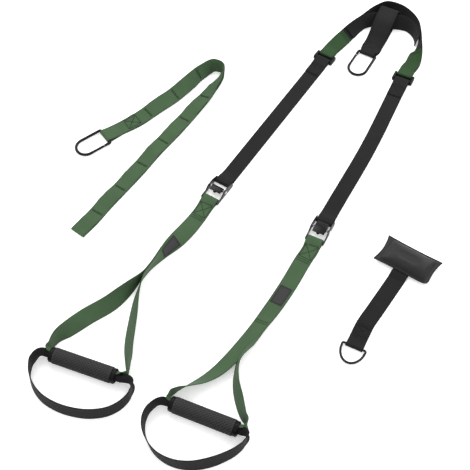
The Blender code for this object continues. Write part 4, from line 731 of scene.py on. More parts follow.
def label_rows(side):
    shares = HANDLES[side][0] if HANDLES[side][0][0][2] < 0 else HANDLES[side][1]
    knots = strap_knots(side, shares)
    rise = (WEB_THICKNESS + LABEL_THICKNESS) / 2 + CLEARANCE
    sign = 1 if knots[0][2] < 0 else -1
    raised = [(x, y, lean, lift, half + sign * rise, 0.0) for x, y, lean, lift, half, _ in knots]
    rows = []
    for centre, facing, curl, _ in floor_rows(raised, per_span=FINE_SPAN * 2):
        share = -centre[1] / HANDLE_DROP
        if LABEL_START_SHARE <= share <= LABEL_END_SHARE:
            rows.append((centre, facing, curl, WEB_WIDTH - LABEL_INSET * 2))
    return rows


def loop_rows(side):
    """The foot loop: a ring of webbing that stands on edge and runs back through the grip."""
    curl = math.degrees(WEB_WIDTH / LOOP_CURL_RADIUS)
    mouth = GRIP_LENGTH / 2
    near, far = LOOP_MOUTH_SHARES
    leaving = [(place, 1.0) for place in (0.0, mouth * near, mouth + COLLAR_LENGTH * far)]
    knots = grip_knots(side, -1, -LOOP_CURL_RADIUS, curl, leaving)
    shares = HANDLES[side][2]
    for index, (x, y, lean) in enumerate(shares):
        is_end = index in (0, len(shares) - 1)
        knots.append((across_place(side, x), y * HANDLE_DROP, lean, 0.0, 0.0,
                      curl * LOOP_END_CURL_SHARE if is_end else 0.0))
    knots += grip_knots(side, 1, -LOOP_CURL_RADIUS, curl, leaving[::-1])
    return floor_rows(knots)


def extension_rows():
    """Two layers sewn at even steps; the second value is the row where the upper layer ends."""
    knots = []
    for x, y, lean in EXTENSION_SHARES:
        lift = LAYER_STEP / 2 * abs(math.sin(math.radians(lean)))
        knots.append((x * EXTENSION_REACH, y * EXTENSION_REACH, lean, lift, 0.0, 0.0))
    middle = floor_rows(knots)
    travelled = 0.0
    upper, lower, eye = [], [], []
    for index, (centre, facing, _, width) in enumerate(middle):
        if index:
            travelled += np.linalg.norm(centre - middle[index - 1][0])
        ahead = middle[min(index + 1, len(middle) - 1)][0] - middle[max(index - 1, 0)][0]
        normal = np.cross(ahead / np.linalg.norm(ahead), facing)
        puff = PUFF_HEIGHT * math.sin(math.pi * travelled / STITCH_SPACING) ** 2
        upper.append((centre + normal * (LAYER_STEP / 2 + puff), facing, 0.0, width))
        lower.append((centre - normal * LAYER_STEP / 2, facing, 0.0, width))
    turn = math.radians(EXTENSION_TURN)
    across = (math.cos(turn), math.sin(turn), 0)
    away = np.array((-math.sin(turn), math.cos(turn), 0))
    for angle in np.radians(np.linspace(QUARTER, QUARTER * 3, FINE_WRAP)):
        spoke = (away * math.cos(angle) + UP * math.sin(angle)) * ROD_WRAP_RADIUS
        eye.append((spoke + UP * ROD_HEIGHT, np.array(across), 0.0, WEB_WIDTH))
    over = spine_rows([(*upper[0][0], WEB_WIDTH),
                       (*(away * EYE_TAPER + UP * (ROD_HEIGHT + LAYER_STEP)), WEB_WIDTH),
                       (*(UP * (ROD_HEIGHT + ROD_WRAP_RADIUS)), WEB_WIDTH)], across)
    under = spine_rows([(*(UP * FLOOR_CENTRE), WEB_WIDTH), (*lower[0][0], WEB_WIDTH)], across)
    return upper[::-1] + over[1:-1] + eye[:-1] + under[:-1] + lower, len(upper) - 1


def door_strap_rows():
    """From under the pad to the ring, round its bar and sewn back on itself."""
    over = RING_HEIGHT + RING_WRAP_RADIUS
    folded = FLOOR_CENTRE + LAYER_STEP
    width = DOOR_STRAP_WIDTH
    hem = PAD_BASE_CROWN - PAD_FLAT - WEB_GAP - WEB_THICKNESS / 2
    tucked = DOOR_STRAP_LENGTH - OVERRUN / 2
    places = [(DOOR_STRAP_LENGTH, hem), (tucked, hem), (tucked - DOOR_STRAP_RISE, FLOOR_CENTRE),
              (DOOR_STRAP_LENGTH / 2, FLOOR_CENTRE), (DOOR_FOLD, FLOOR_CENTRE), (0, FLOOR_CENTRE)]
    lower = []
    for place, height in places:
        veer = max(place - DOOR_FOLD, 0) / (DOOR_STRAP_LENGTH - DOOR_FOLD)
        lower.append((DOOR_STRAP_DRIFT * veer, place, height, width))
    rows = spine_rows(lower, ACROSS)[:-1]
    rows += wrap_rows((0, 0, RING_HEIGHT), RING_WRAP_RADIUS, -QUARTER, -QUARTER * 3, ACROSS,
                      width=width)
    settle = folded + LAYER_STEP * DOOR_SETTLE_SHARE
    near, far = DOOR_BACK_SHARES
    back = [(0, 0, over, width), (0, DOOR_FOLD * near, settle, width)]
    back += [(0, DOOR_FOLD * far, folded, width), (0, DOOR_FOLD, folded, width)]
    rows += spine_rows(back, ACROSS)[1:]
    return rows


# Bands, stitches and tubes

class Strip:
    """A band's rows in the part's frame, spread evenly, with their side and normal vectors."""

    def __init__(self, rows, place=None, ring=False, thickness=WEB_THICKNESS, pitch=ROW_PITCH):
        place = KIT @ place if place else KIT
        turn = np.array(place.to_3x3())
        shift = np.array(place.translation)
        centres = np.array([row[0] for row in rows]) @ turn.T + shift
        sides = np.array([row[1] for row in rows]) @ turn.T
        curls = np.array([row[2] for row in rows])
        widths = np.array([row[3] for row in rows])
        for index in range(1, len(rows)):
            if sides[index] @ sides[index - 1] < 0:
                sides[index] = -sides[index]
                curls[index] = -curls[index]
        paces = np.linalg.norm(np.diff(centres, axis=0), axis=1)
        travelled = np.concatenate(([0], np.cumsum(paces)))
        self.travelled = travelled
        self.length = travelled[-1]
        count = max(round(self.length / pitch), 4)
        self.u = np.linspace(0, self.length, count + 1)
        self.centres = self.spread(travelled, centres)
        self.sides = self.spread(travelled, sides)
        self.curls = np.interp(self.u, travelled, curls)
        self.widths = np.interp(self.u, travelled, widths)
        along = np.gradient(self.centres, axis=0)
        if ring:
            along[0] = along[-1] = self.centres[1] - self.centres[-2]
        along /= np.linalg.norm(along, axis=1)[:, None]
        self.sides -= along * np.sum(self.sides * along, axis=1)[:, None]
        self.sides /= np.linalg.norm(self.sides, axis=1)[:, None]
        self.normals = np.cross(along, self.sides)
        self.ring = ring
        self.thickness = thickness

    def spread(self, travelled, values):
        columns = [np.interp(self.u, travelled, column) for column in values.T]
        return np.stack(columns, axis=1)

    def at(self, u, v, lift=0.0):
        """Places at a distance along, a distance across and a lift from the middle layer."""
        u = np.clip(np.asarray(u, float), 0, self.length)
        centre, side, normal = (
            np.stack([np.interp(u, self.u, values[:, axis]) for axis in range(3)], axis=-1)
            for values in (self.centres, self.sides, self.normals))
        curl = np.interp(u, self.u, self.curls)
        width = np.interp(u, self.u, self.widths)
        return self.lay(centre, side, normal, curl, width, np.asarray(v, float), lift)

    @staticmethod
    def lay(centre, side, normal, curl, width, v, lift):
        bend = np.where(np.abs(curl) > FLAT_CURL, curl, FLAT_CURL) / width
        angle = v * bend
        across = side * (np.sin(angle) / bend)[..., None]
        rise = normal * ((1 - np.cos(angle)) / bend)[..., None]
        facing = normal * np.cos(angle)[..., None] - side * np.sin(angle)[..., None]
        return centre + across + rise + facing * np.asarray(lift)[..., None]

    def body(self, name, look, relief):
        """The band's own surface: a section with round selvedges, swept along the rows."""
        half = self.thickness / 2
        shares = list(np.linspace(-1, 1, WEB_COLUMNS + 1))
        section = []
        for sign in (1, -1):
            section += [(share, sign, 0.0) for share in shares[::sign]]
            for angle in np.radians((60, 30, 0, -30, -60)):
                section.append((sign, sign * math.sin(angle), sign * math.cos(angle)))
        section = np.array(section)
        rows, around = len(self.u), len(section)
        u = np.repeat(self.u[:, None], around, axis=1)
        inset = np.minimum(self.widths / 2, self.widths / 2 - half)[:, None]
        v = section[None, :, 0] * inset + section[None, :, 2] * half
        lift = np.repeat(section[None, :, 1], rows, axis=0) * half
        lift = lift + relief(u, v, section[None, :, 1])
        spots = self.lay(self.centres[:, None, :], self.sides[:, None, :], self.normals[:, None, :],
                         self.curls[:, None], self.widths[:, None], v, lift)
        last = rows - 1 if self.ring else rows
        verts = spots[:last].reshape(-1, 3)
        faces = ring_faces(last, around, self.ring)
        return solid(name, verts, faces, look, (u[:last].reshape(-1), v[:last].reshape(-1)))


def ring_faces(rings, around, closed=False, first=0):
    """Faces between rings of points, with a cap at each end of an open run."""
    faces = []
    for ring in range(rings if closed else rings - 1):
        here, ahead = first + ring * around, first + (ring + 1) % rings * around
        for step in range(around):
            after = (step + 1) % around
            faces.append((here + step, here + after, ahead + after, ahead + step))
    if not closed:
        end = first + (rings - 1) * around
        faces.append(tuple(range(first, first + around))[::-1])
        faces.append(tuple(range(end, end + around)))
    return faces


def link(name, data):
    obj = bpy.data.objects.new(name, data)
    bpy.context.scene.collection.objects.link(obj)
    return obj


def solid(name, verts, faces, look, weave=None, angle=SMOOTH_ANGLE):
    """A mesh object with outward faces, a material and, for a band, its lengths as a UV map."""
    mesh = bpy.data.meshes.new(name)
    mesh.from_pydata([tuple(vert) for vert in verts], [], faces)
    if weave is not None:
        layer = mesh.uv_layers.new(name="weave")
        spots = np.empty(len(mesh.loops), dtype=np.int32)
        mesh.loops.foreach_get("vertex_index", spots)
        both = np.stack((weave[0][spots], weave[1][spots]), axis=1)
        layer.data.foreach_set("uv", both.reshape(-1))
    return settle(name, mesh, look, angle)


def settle(name, mesh, look, angle=SMOOTH_ANGLE):
    """Turn the faces outward, shade them and link the object."""
    shape = bmesh.new()
    shape.from_mesh(mesh)
    bmesh.ops.recalc_face_normals(shape, faces=shape.faces)
    shape.to_mesh(mesh)
    shape.free()
    mesh.shade_smooth()
    mesh.set_sharp_from_angle(angle=math.radians(angle))
    mesh.materials.append(LOOKS[look])
    return link(name, mesh)


def thread_mesh(name, strip, lines, look, face):
    """Sewn lines on one face of a band: each stitch is a short arched piece of thread."""
    lift = strip.thickness / 2 * face
    verts, faces = [], []
    for (u_from, v_from), (u_to, v_to) in lines:
        reach = math.hypot(u_to - u_from, v_to - v_from)
        count = max(round(reach / STITCH_LENGTH), 1)
        for step in range(count):
            shares = (step + np.array(STITCH_STATIONS)) / count
            u = u_from + (u_to - u_from) * shares
            v = v_from + (v_to - v_from) * shares
            arch = np.array(STITCH_ARCH) * THREAD_RADIUS
            spots = strip.at(u, v, lift + arch * face)
            below = strip.at(u, v, 0.0)
            up = spots - below
            up /= np.linalg.norm(up, axis=1)[:, None]
            run = np.gradient(spots, axis=0)
            run /= np.linalg.norm(run, axis=1)[:, None]
            out = np.cross(run, up)
            first = len(verts)
            for spot, rise, side, size in zip(spots, up, out, STITCH_SIZES):
                for angle in np.radians(np.arange(0, AROUND, AROUND / THREAD_SIDES)):
                    spoke = rise * math.sin(angle) + side * math.cos(angle)
                    verts.append(spot + spoke * THREAD_RADIUS * size)
            faces += ring_faces(len(spots), THREAD_SIDES, first=first)
    return solid(name, verts, faces, look)


def box_lines(u_from, u_to, half, cross=True):
    """The seams of a sewn box, with its diagonals."""
    lines = [((u_from, -half), (u_from, half)), ((u_to, -half), (u_to, half)),
             ((u_from, -half), (u_to, -half)), ((u_from, half), (u_to, half))]
    if cross:
        lines += [((u_from, -half), (u_to, half)), ((u_from, half), (u_to, -half))]
    return lines


def bar_lines(places, half):
    """Seams straight across a band."""
    return [((place, -half), (place, half)) for place in places]


def pinch(lines, face, depth=PINCH_DEPTH, spread=PINCH_SPREAD):
    """How far the sewn lines draw a band's face in."""
    ends = [(np.array(a), np.array(b)) for a, b in lines]

    def relief(u, v, top):
        pull = np.zeros_like(u + v)
        for first, last in ends:
            run = last - first
            share = np.clip(((u - first[0]) * run[0] + (v - first[1]) * run[1]) / (run @ run), 0, 1)
            away = np.hypot(u - first[0] - run[0] * share, v - first[1] - run[1] * share)
            pull = np.maximum(pull, np.exp(-(away / spread) ** 2))
        return -depth * pull * np.clip(top * face, 0, 1) * face

    return relief


def ripple(seed):
    """Slow unevenness of a band that has been handled; the two faces move together."""
    chance = random.Random(seed)
    waves = []
    for _ in range(RIPPLE_WAVES):
        pace = chance.uniform(0.6, 1.6) / RIPPLE_LENGTH
        waves.append((pace, chance.uniform(0, AROUND), chance.uniform(-1, 1)))

    def relief(u, v, top):
        total = np.zeros_like(u + v)
        for pace, start, slant in waves:
            total += np.sin(math.tau * pace * (u + v * slant) + start)
        return RIPPLE_HEIGHT * total / len(waves)

    return relief


def both(*reliefs):
    """The sum of several reliefs."""
    def relief(u, v, top):
        total = np.zeros_like(u + v)
        for part in reliefs:
            total = total + part(u, v, top)
        return total

    return relief


def tube(name, points, radii, look, closed=False, sides=TUBE_SIDES, up=(0, 0, 1), place=None):
    """A round bar through the points, with a radius for each."""
    points = np.array([tuple(point) for point in points], float)
    radii = np.broadcast_to(np.array(radii, float), (len(points),))
    if closed:
        run = np.roll(points, -1, axis=0) - np.roll(points, 1, axis=0)
    else:
        run = np.gradient(points, axis=0)
    run /= np.linalg.norm(run, axis=1)[:, None]
    verts = []
    guide = np.array(up, float)
    for spot, heading, radius in zip(points, run, radii):
        side = guide - heading * (guide @ heading)
        side /= np.linalg.norm(side)
        other = np.cross(heading, side)
        guide = side
        for step in range(sides):
            angle = math.tau * step / sides
            verts.append(spot + (side * math.cos(angle) + other * math.sin(angle)) * radius)
    obj = solid(name, verts, ring_faces(len(points), sides, closed), look)
    obj.data.transform(KIT @ place if place else KIT)
    return obj


def lathe(name, profile, look, place, steps=LATHE_STEPS, relief=None):
    """A turned ring or plug about the place's z axis; the profile is a closed section."""
    verts = []
    for step in range(steps):
        angle = math.tau * step / steps
        for radius, height in profile:
            reach = radius + (relief(angle, radius, height) if relief else 0.0)
            verts.append((reach * math.cos(angle), reach * math.sin(angle), height))
    obj = solid(name, verts, ring_faces(steps, len(profile), closed=True), look)
    shape = bmesh.new()
    shape.from_mesh(obj.data)
    bmesh.ops.remove_doubles(shape, verts=shape.verts, dist=MERGE_REACH)
    bmesh.ops.recalc_face_normals(shape, faces=shape.faces)
    shape.to_mesh(obj.data)
    shape.free()
    obj.data.transform(KIT @ place)
    return obj


def rounded(corners, radius):
    """The outline with each corner turned into an arc of the given radius."""
    outline = []
    for index, corner in enumerate(corners):
        corner = Vector(corner)
        before = Vector(corners[index - 1]) - corner
        after = Vector(corners[(index + 1) % len(corners)]) - corner
        half = before.angle(after) / 2
        reach = min(radius / math.tan(half), before.length / 2, after.length / 2)
        centre = corner + (before.normalized() + after.normalized()).normalized() * (
            reach * math.tan(half) / math.sin(half))
        first = corner + before.normalized() * reach - centre
        last = corner + after.normalized() * reach - centre
        for step in range(CORNER_STEPS + 1):
            spoke = first.lerp(last, step / CORNER_STEPS).normalized() * first.length
            outline.append(tuple(centre + spoke))
    return outline


def soften(shape, lines, edge, mesh):
    """Round the given edges of a shape and write it into a mesh."""
    bmesh.ops.bevel(shape, geom=lines, offset=edge, segments=3, affect="EDGES", profile=0.5,
                    clamp_overlap=True)
    shape.to_mesh(mesh)
    shape.free()


def plate(name, outline, thickness, look, place, edge):
    """A flat plate with softened rims: the outline in x and y, its thickness along z."""
    mesh = bpy.data.meshes.new(name)
    count = len(outline)
    verts = [(x, y, sign * thickness / 2) for sign in (-1, 1) for x, y in outline]
    faces = [tuple(range(count))[::-1], tuple(range(count, count * 2))]
    faces += [(index, (index + 1) % count, (index + 1) % count + count, index + count)
              for index in range(count)]
    mesh.from_pydata(verts, [], faces)
    shape = bmesh.new()
    shape.from_mesh(mesh)
    bmesh.ops.recalc_face_normals(shape, faces=shape.faces)
    rims = [line for line in shape.edges if line.verts[0].co.z == line.verts[1].co.z]
    soften(shape, rims, edge, mesh)
    mesh.transform(KIT @ place)
    return settle(name, mesh, look, PLATE_ANGLE)


def block(name, low, high, look, place, edge):
    """A box with rounded edges between two corners."""
    shape = bmesh.new()
    bmesh.ops.create_cube(shape, size=1)
    low, high = Vector(low), Vector(high)
    fit = Matrix.Translation((low + high) / 2) @ Matrix.Diagonal((*(high - low), 1))
    bmesh.ops.transform(shape, matrix=fit, verts=shape.verts)
    mesh = bpy.data.meshes.new(name)
    soften(shape, list(shape.edges), edge, mesh)
    mesh.transform(KIT @ place)
    return settle(name, mesh, look, PLATE_ANGLE)


def join(name, pieces):
    """Several closed shells made one object."""
    shape = bmesh.new()
    for piece in pieces:
        shape.from_mesh(piece.data)
    mesh = bpy.data.meshes.new(name)
    shape.to_mesh(mesh)
    shape.free()
    mesh.materials.append(pieces[0].data.materials[0])
    for piece in pieces:
        bpy.data.objects.remove(piece, do_unlink=True)
    return link(name, mesh)


# Finishes, each one a node tree in real lengths

def new_look(name):
    material = bpy.data.materials.new(name)
    material.use_nodes = True
    shader = material.node_tree.nodes["Principled BSDF"]
    return material, material.node_tree, shader


def mathematics(tree, operation, first, second=None):
    """A math node whose inputs are sockets or numbers."""
    node = tree.nodes.new("ShaderNodeMath")
    node.operation = operation
    for index, value in enumerate((first, second)):
        if isinstance(value, (int, float)):
            node.inputs[index].default_value = value
        elif value is not None:
            tree.links.new(value, node.inputs[index])
    return node.outputs[0]


def scaled(tree, value, factor):
    return mathematics(tree, "MULTIPLY", value, factor)


def wave_of(tree, length, pitch):
    """A wave along a length, from -1 to 1 once in each pitch."""
    return mathematics(tree, "SINE", scaled(tree, length, math.tau / pitch))


def weave_of(tree, first, second):
    """Two crossing waves, from 0 between the threads to 1 on their crowns."""
    return mathematics(tree, "ADD", scaled(tree, scaled(tree, first, second), 0.5), 0.5)


def noise_of(tree, scale, detail=3.0, rough=0.55):
    """Noise in the part's own metres."""
    place = tree.nodes.new("ShaderNodeTexCoord")
    node = tree.nodes.new("ShaderNodeTexNoise")
    node.inputs["Scale"].default_value = scale
    node.inputs["Detail"].default_value = detail
    node.inputs["Roughness"].default_value = rough
    tree.links.new(place.outputs["Object"], node.inputs["Vector"])
    return node.outputs["Fac"]


def ramp(tree, value, stops):
    """Colours along a value from 0 to 1."""
    node = tree.nodes.new("ShaderNodeValToRGB")
    while len(node.color_ramp.elements) < len(stops):
        node.color_ramp.elements.new(0.5)
    for element, (place, colour) in zip(node.color_ramp.elements, stops):
        element.position = place
        element.color = (*colour, 1)
    tree.links.new(value, node.inputs["Fac"])
    return node.outputs["Color"]


def mix_colours(tree, share, first, second):
    """The first colour, with a share of the second laid over it."""
    node = tree.nodes.new("ShaderNodeMix")
    node.data_type = "RGBA"
    for index, value in ((0, share), (6, first), (7, second)):
        if isinstance(value, tuple):
            node.inputs[index].default_value = (*value, 1)
        else:
            tree.links.new(value, node.inputs[index])
    return node.outputs[2]


def set_inputs(shader, values):
    for name, value in values.items():
        shader.inputs[name].default_value = value


def bump(tree, shader, height, distance, strength, before=None):
    node = tree.nodes.new("ShaderNodeBump")
    node.inputs["Strength"].default_value = strength
    node.inputs["Distance"].default_value = distance
    tree.links.new(height, node.inputs["Height"])
    if before:
        tree.links.new(before, node.inputs["Normal"])
    tree.links.new(node.outputs["Normal"], shader.inputs["Normal"])
    return node.outputs["Normal"]


def webbing_look(name, light, dark, edge, sheen):
    """Woven webbing: ribs across, cords along, plain selvedges, handled patches and painted shade
    in the hollows between the threads.
    """
    material, tree, shader = new_look(name)
    uv = tree.nodes.new("ShaderNodeUVMap")
    uv.uv_map = "weave"
    parts = tree.nodes.new("ShaderNodeSeparateXYZ")
    tree.links.new(uv.outputs["UV"], parts.inputs[0])
    along, across = parts.outputs[0], parts.outputs[1]
    ribs = wave_of(tree, along, RIB_PITCH)
    cords = wave_of(tree, across, RIB_PITCH * CORD_SHARE)
    weave = weave_of(tree, ribs, cords)
    fuzz = noise_of(tree, FUZZ_SCALE, 2.0)
    patches = noise_of(tree, WEB_PATCH_SCALE, 4.0)
    # painted shade: the dark tone fills the hollows between the threads and the light tone their
    # crowns
    tone = ramp(tree, weave, ((0.10, dark), (0.75, light)))
    worn = tuple(min(channel * 1.28 + 0.004, 1.0) for channel in light)
    tone = mix_colours(tree, scaled(tree, patches, 0.55), tone, worn)
    tone = mix_colours(tree, scaled(tree, fuzz, 0.22), tone, dark)
    rim = mathematics(tree, "ABSOLUTE", across)
    rim = mathematics(tree, "GREATER_THAN", rim, WEB_WIDTH / 2 - SELVEDGE)
    tone = mix_colours(tree, scaled(tree, rim, 0.55), tone, edge)
    tree.links.new(tone, shader.inputs["Base Color"])
    set_inputs(shader, {"Roughness": 0.82, "Specular IOR Level": 0.22, "Sheen Weight": sheen,
                        "Sheen Roughness": 0.45})
    fine = bump(tree, shader, fuzz, FUZZ_DEPTH, 0.5)
    bump(tree, shader, weave, RIB_DEPTH, 0.9, fine)
    return material


def thread_look(name, colour):
    """Twisted sewing thread."""
    material, tree, shader = new_look(name)
    fuzz = noise_of(tree, THREAD_SCALE, 2.0)
    dark = tuple(channel * 0.45 for channel in colour)
    tree.links.new(ramp(tree, fuzz, ((0.3, dark), (0.7, colour))), shader.inputs["Base Color"])
    set_inputs(shader, {"Roughness": 0.7})
    bump(tree, shader, fuzz, THREAD_DEPTH, 0.6)
    return material


def metal_look(name, colour, metallic, roughness, worn=None, gleam=0.5):
    """Cast or drawn metal, coated, with a fine grain and rubbed patches."""
    material, tree, shader = new_look(name)
    patches = noise_of(tree, METAL_PATCH_SCALE, 4.0)
    fine = noise_of(tree, METAL_GRAIN_SCALE)
    tone = tuple(channel * 0.78 for channel in colour)
    base = ramp(tree, patches, ((0.3, tone), (0.7, colour)))
    if worn:
        geometry = tree.nodes.new("ShaderNodeNewGeometry")
        rub = ramp(tree, geometry.outputs["Pointiness"], ((0.52, BLACK), (0.60, WHITE)))
        base = mix_colours(tree, scaled(tree, rub, scaled(tree, fine, 0.8)), base, worn)
    tree.links.new(base, shader.inputs["Base Color"])
    rough = mathematics(tree, "ADD", scaled(tree, fine, 0.16), roughness - 0.08)
    tree.links.new(rough, shader.inputs["Roughness"])
    set_inputs(shader, {"Metallic": metallic, "Specular IOR Level": gleam})
    bump(tree, shader, fine, METAL_DEPTH, 0.35)
    return material


def plastic_look(name, colour, roughness, grain, depth, groove=None, gleam=0.3):
    """Moulded plastic or foam with a fine pebbled skin and, given a groove colour, painted shade in
    the foam's knurl grooves.
    """
    material, tree, shader = new_look(name)
    fine = noise_of(tree, grain, rough=0.7)
    slow = noise_of(tree, PLASTIC_PATCH_SCALE)
    dark = tuple(channel * 0.62 for channel in colour)
    base = ramp(tree, fine, ((0.30, dark), (0.72, colour)))
    light = tuple(channel * 1.35 for channel in colour)
    base = mix_colours(tree, scaled(tree, slow, 0.35), base, light)
    # painted shade: the knurl's grooves darken towards the groove colour by their stored depth
    if groove:
        shade_depth = tree.nodes.new("ShaderNodeAttribute")
        shade_depth.attribute_name = "groove"
        sunk = ramp(tree, shade_depth.outputs["Fac"], ((0.10, BLACK), (0.80, WHITE)))
        base = mix_colours(tree, sunk, base, groove)
    tree.links.new(base, shader.inputs["Base Color"])
    set_inputs(shader, {"Roughness": roughness, "Specular IOR Level": gleam})
    bump(tree, shader, fine, depth, 0.7)
    return material


def cloth_look(name, light, dark, pitch, roughness, sheen, gleam=0.5):
    """Plain woven cloth: two crossing sets of fine threads, painted shade in the hollows between
    them and slow changes of tone.
    """
    material, tree, shader = new_look(name)
    place = tree.nodes.new("ShaderNodeTexCoord")
    parts = tree.nodes.new("ShaderNodeSeparateXYZ")
    tree.links.new(place.outputs["Object"], parts.inputs[0])
    warp = wave_of(tree, parts.outputs[0], pitch)
    weft = wave_of(tree, parts.outputs[1], pitch)
    weave = weave_of(tree, warp, weft)
    slow = noise_of(tree, CLOTH_PATCH_SCALE, 4.0)
    # painted shade: the dark tone fills the hollows between the threads and the light tone their
    # crowns
    base = ramp(tree, weave, ((0.15, dark), (0.85, light)))
    worn = tuple(channel * 1.5 for channel in light)
    base = mix_colours(tree, scaled(tree, slow, 0.4), base, worn)
    tree.links.new(base, shader.inputs["Base Color"])
    set_inputs(shader, {"Roughness": roughness, "Specular IOR Level": gleam,
                        "Sheen Weight": sheen, "Sheen Roughness": 0.4})
    soft = bump(tree, shader, noise_of(tree, CREASE_SCALE), CREASE_DEPTH, 0.45)
    bump(tree, shader, weave, CLOTH_DEPTH, 0.6, soft)
    return material


FINISHES = (
    # the second colour of each webbing is partly painted shade, laid in the hollows between the
    # threads
    (webbing_look, "black_webbing", (0.0078, 0.0078, 0.0084), (0.0030, 0.0030, 0.0034),
     (0.0045, 0.0045, 0.0050), 0.02),
    (webbing_look, "green_webbing", (0.053, 0.102, 0.047), (0.025, 0.051, 0.022),
     (0.034, 0.068, 0.030), 0.05),
    (webbing_look, "tab_webbing", (0.022, 0.058, 0.018), (0.0105, 0.029, 0.0085),
     (0.014, 0.039, 0.011), 0.03),
    (thread_look, "green_thread", (0.006, 0.015, 0.006)),
    (thread_look, "black_thread", (0.003, 0.003, 0.0033)),
    (thread_look, "label_thread", (0.006, 0.006, 0.0065)),
    (metal_look, "black_steel", (0.0035, 0.0035, 0.0040), 0.0, 0.30, (0.016, 0.016, 0.018), 0.16),
    (metal_look, "gun_metal", (0.010, 0.010, 0.0115), 0.10, 0.32, (0.060, 0.058, 0.064), 0.34),
    (metal_look, "dark_chrome", (0.028, 0.028, 0.031), 1.0, 0.20),
    (metal_look, "spring_steel", (0.560, 0.560, 0.570), 1.0, 0.26),
    (plastic_look, "black_plastic", (0.0045, 0.0045, 0.0050), 0.40, PLASTIC_GRAIN_SCALE,
     PLASTIC_DEPTH, None, 0.16),
    # the foam's last colour is painted shade for its knurl grooves
    (plastic_look, "grip_foam", (0.0330, 0.0325, 0.0345), 0.72, FOAM_GRAIN_SCALE, FOAM_DEPTH,
     (0.0070, 0.0070, 0.0078)),
    # the second colour of each cloth is painted shade, laid in the hollows between the threads
    (cloth_look, "pad_fabric", (0.0042, 0.0042, 0.0048), (0.0022, 0.0022, 0.0026),
     PAD_WEAVE_PITCH, 0.46, 0.02, 0.30),
    (cloth_look, "label_cloth", (0.021, 0.020, 0.021), (0.012, 0.0115, 0.012),
     LABEL_WEAVE_PITCH, 0.8, 0.05),
)
LOOKS = {name: make(name, *facts) for make, name, *facts in FINISHES}


def dress(obj, look, body, *nodes):
    """Hang the piece on its body and let it stand for its nodes."""
    if nodes:
        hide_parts(*nodes)
    if body:
        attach(obj, body)
    return obj


def strap(name, strip, look, relief, body, node):
    """A webbing strap, swept along its strip's rows."""
    obj = strip.body(name, look, relief)
    dress(obj, look, body, node)
    return obj


def face_up(strip, u):
    """Which face of a band looks up at a distance along it."""
    return 1 if np.interp(u, strip.u, strip.normals[:, 2]) > 0 else -1


def seams(name, strip, lines, look, body, face):
    obj = thread_mesh(name, strip, lines, look, face)
    return dress(obj, look, body)


# Legs, tabs and sliders

def leg_webbing(side):
    leg, length, _ = LEGS[side]
    strip = Strip(leg_strap_rows(side), leg)
    obj = strap(f"leg_webbing_{side}", strip, "black_webbing", ripple(11), None,
                f"leg_strap_{side}")
    stretch(obj, side, "equalizer", f"buckle_{side}", length - SLIDER_LENGTH, OVERRUN * 4)

    strip = Strip(return_strap_rows(side), leg)
    end = strip.length
    face = face_up(strip, end - SEWN_FOLD / 2)
    half = WEB_WIDTH / 2 - SEAM_INSET
    lines = box_lines(end - SEWN_FOLD * RETURN_BOX_SHARE, end - SEAM_INSET, half)
    relief = both(pinch(lines, face), ripple(23 if side == "left" else 29))
    obj = strap(f"return_webbing_{side}", strip, "black_webbing", relief, None,
                f"return_strap_{side}")
    places = (OVERRUN * 5, length - SLIDER_BAR_OFFSET - SEWN_FOLD)
    stretch(obj, side, f"buckle_{side}", f"slider_{side}", *places)
    thread = seams(f"return_seams_{side}", strip, lines, "black_thread", None, face)
    stretch(thread, side, f"buckle_{side}", f"slider_{side}", *places)


def stretch(obj, side, first, second, start, end):
    """Bake the strap's place into its mesh."""
    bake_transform(obj)


def tab(side):
    strip = Strip(tab_rows(side), LEGS[side][0])
    end = strip.length
    face = face_up(strip, end - TAB_LENGTH / 2)
    half = WEB_WIDTH / 2 - SEAM_INSET
    lines = bar_lines((end - SEAM_INSET, end - SEAM_INSET - BAR_STEP), half)
    relief = both(pinch(lines, face), ripple(31))
    strap(f"tab_webbing_{side}", strip, "tab_webbing", relief, f"slider_{side}",
          f"pull_tab_{side}")
    seams(f"tab_seams_{side}", strip, lines, "green_thread", f"slider_{side}", face)


def slide_buckle(side):
    """The plastic slide: a base, two rails with rolled rims and two bars."""
    leg, length, _ = LEGS[side]
    place = moved(leg, 0, length, 0)
    half_width, half_length = SLIDER_WIDTH / 2, SLIDER_LENGTH / 2
    inner = WEB_WIDTH / 2 + SLIDER_SIDE_GAP
    corners = [(-half_width, -half_length), (half_width, -half_length),
               (half_width, half_length), (-half_width, half_length)]
    base = plate("slide_base", rounded(corners, SLIDER_CORNER), SLIDER_BASE, "black_plastic",
                 moved(place, 0, 0, SLIDER_BASE / 2), SLIDER_BASE / 4)
    pieces = [base]
    for sign in (-1, 1):
        low, high = sorted((sign * inner, sign * half_width))
        pieces.append(block("slide_rail", (low, -half_length, SLIDER_BASE / 3),
                            (high, half_length, SLIDER_HEIGHT), "black_plastic", place,
                            (half_width - inner) * SLIDER_RAIL_EDGE))
    for place_up in (-SLIDER_BAR_OFFSET, SLIDER_BAR_OFFSET):
        reach = half_width - (half_width - inner) / 2
        points = [(x, place_up, SLIDER_BAR_HEIGHT) for x in (-reach, 0, reach)]
        pieces.append(tube("slide_bar", points, SLIDER_BAR_RADIUS, "black_plastic", place=place))
    body = join(f"slide_{side}", pieces)
    dress(body, "black_plastic", f"slider_{side}", f"slider_{side}")


# Cam buckles

def side_place(leg, across, up_leg, height):
    """A frame whose z runs across the leg, for outlines drawn up the leg and in height."""
    turn = Matrix(((0, 0, 1, 0), (1, 0, 0, 0), (0, 1, 0, 0), (0, 0, 0, 1)))
    return moved(leg, across, up_leg, height) @ turn


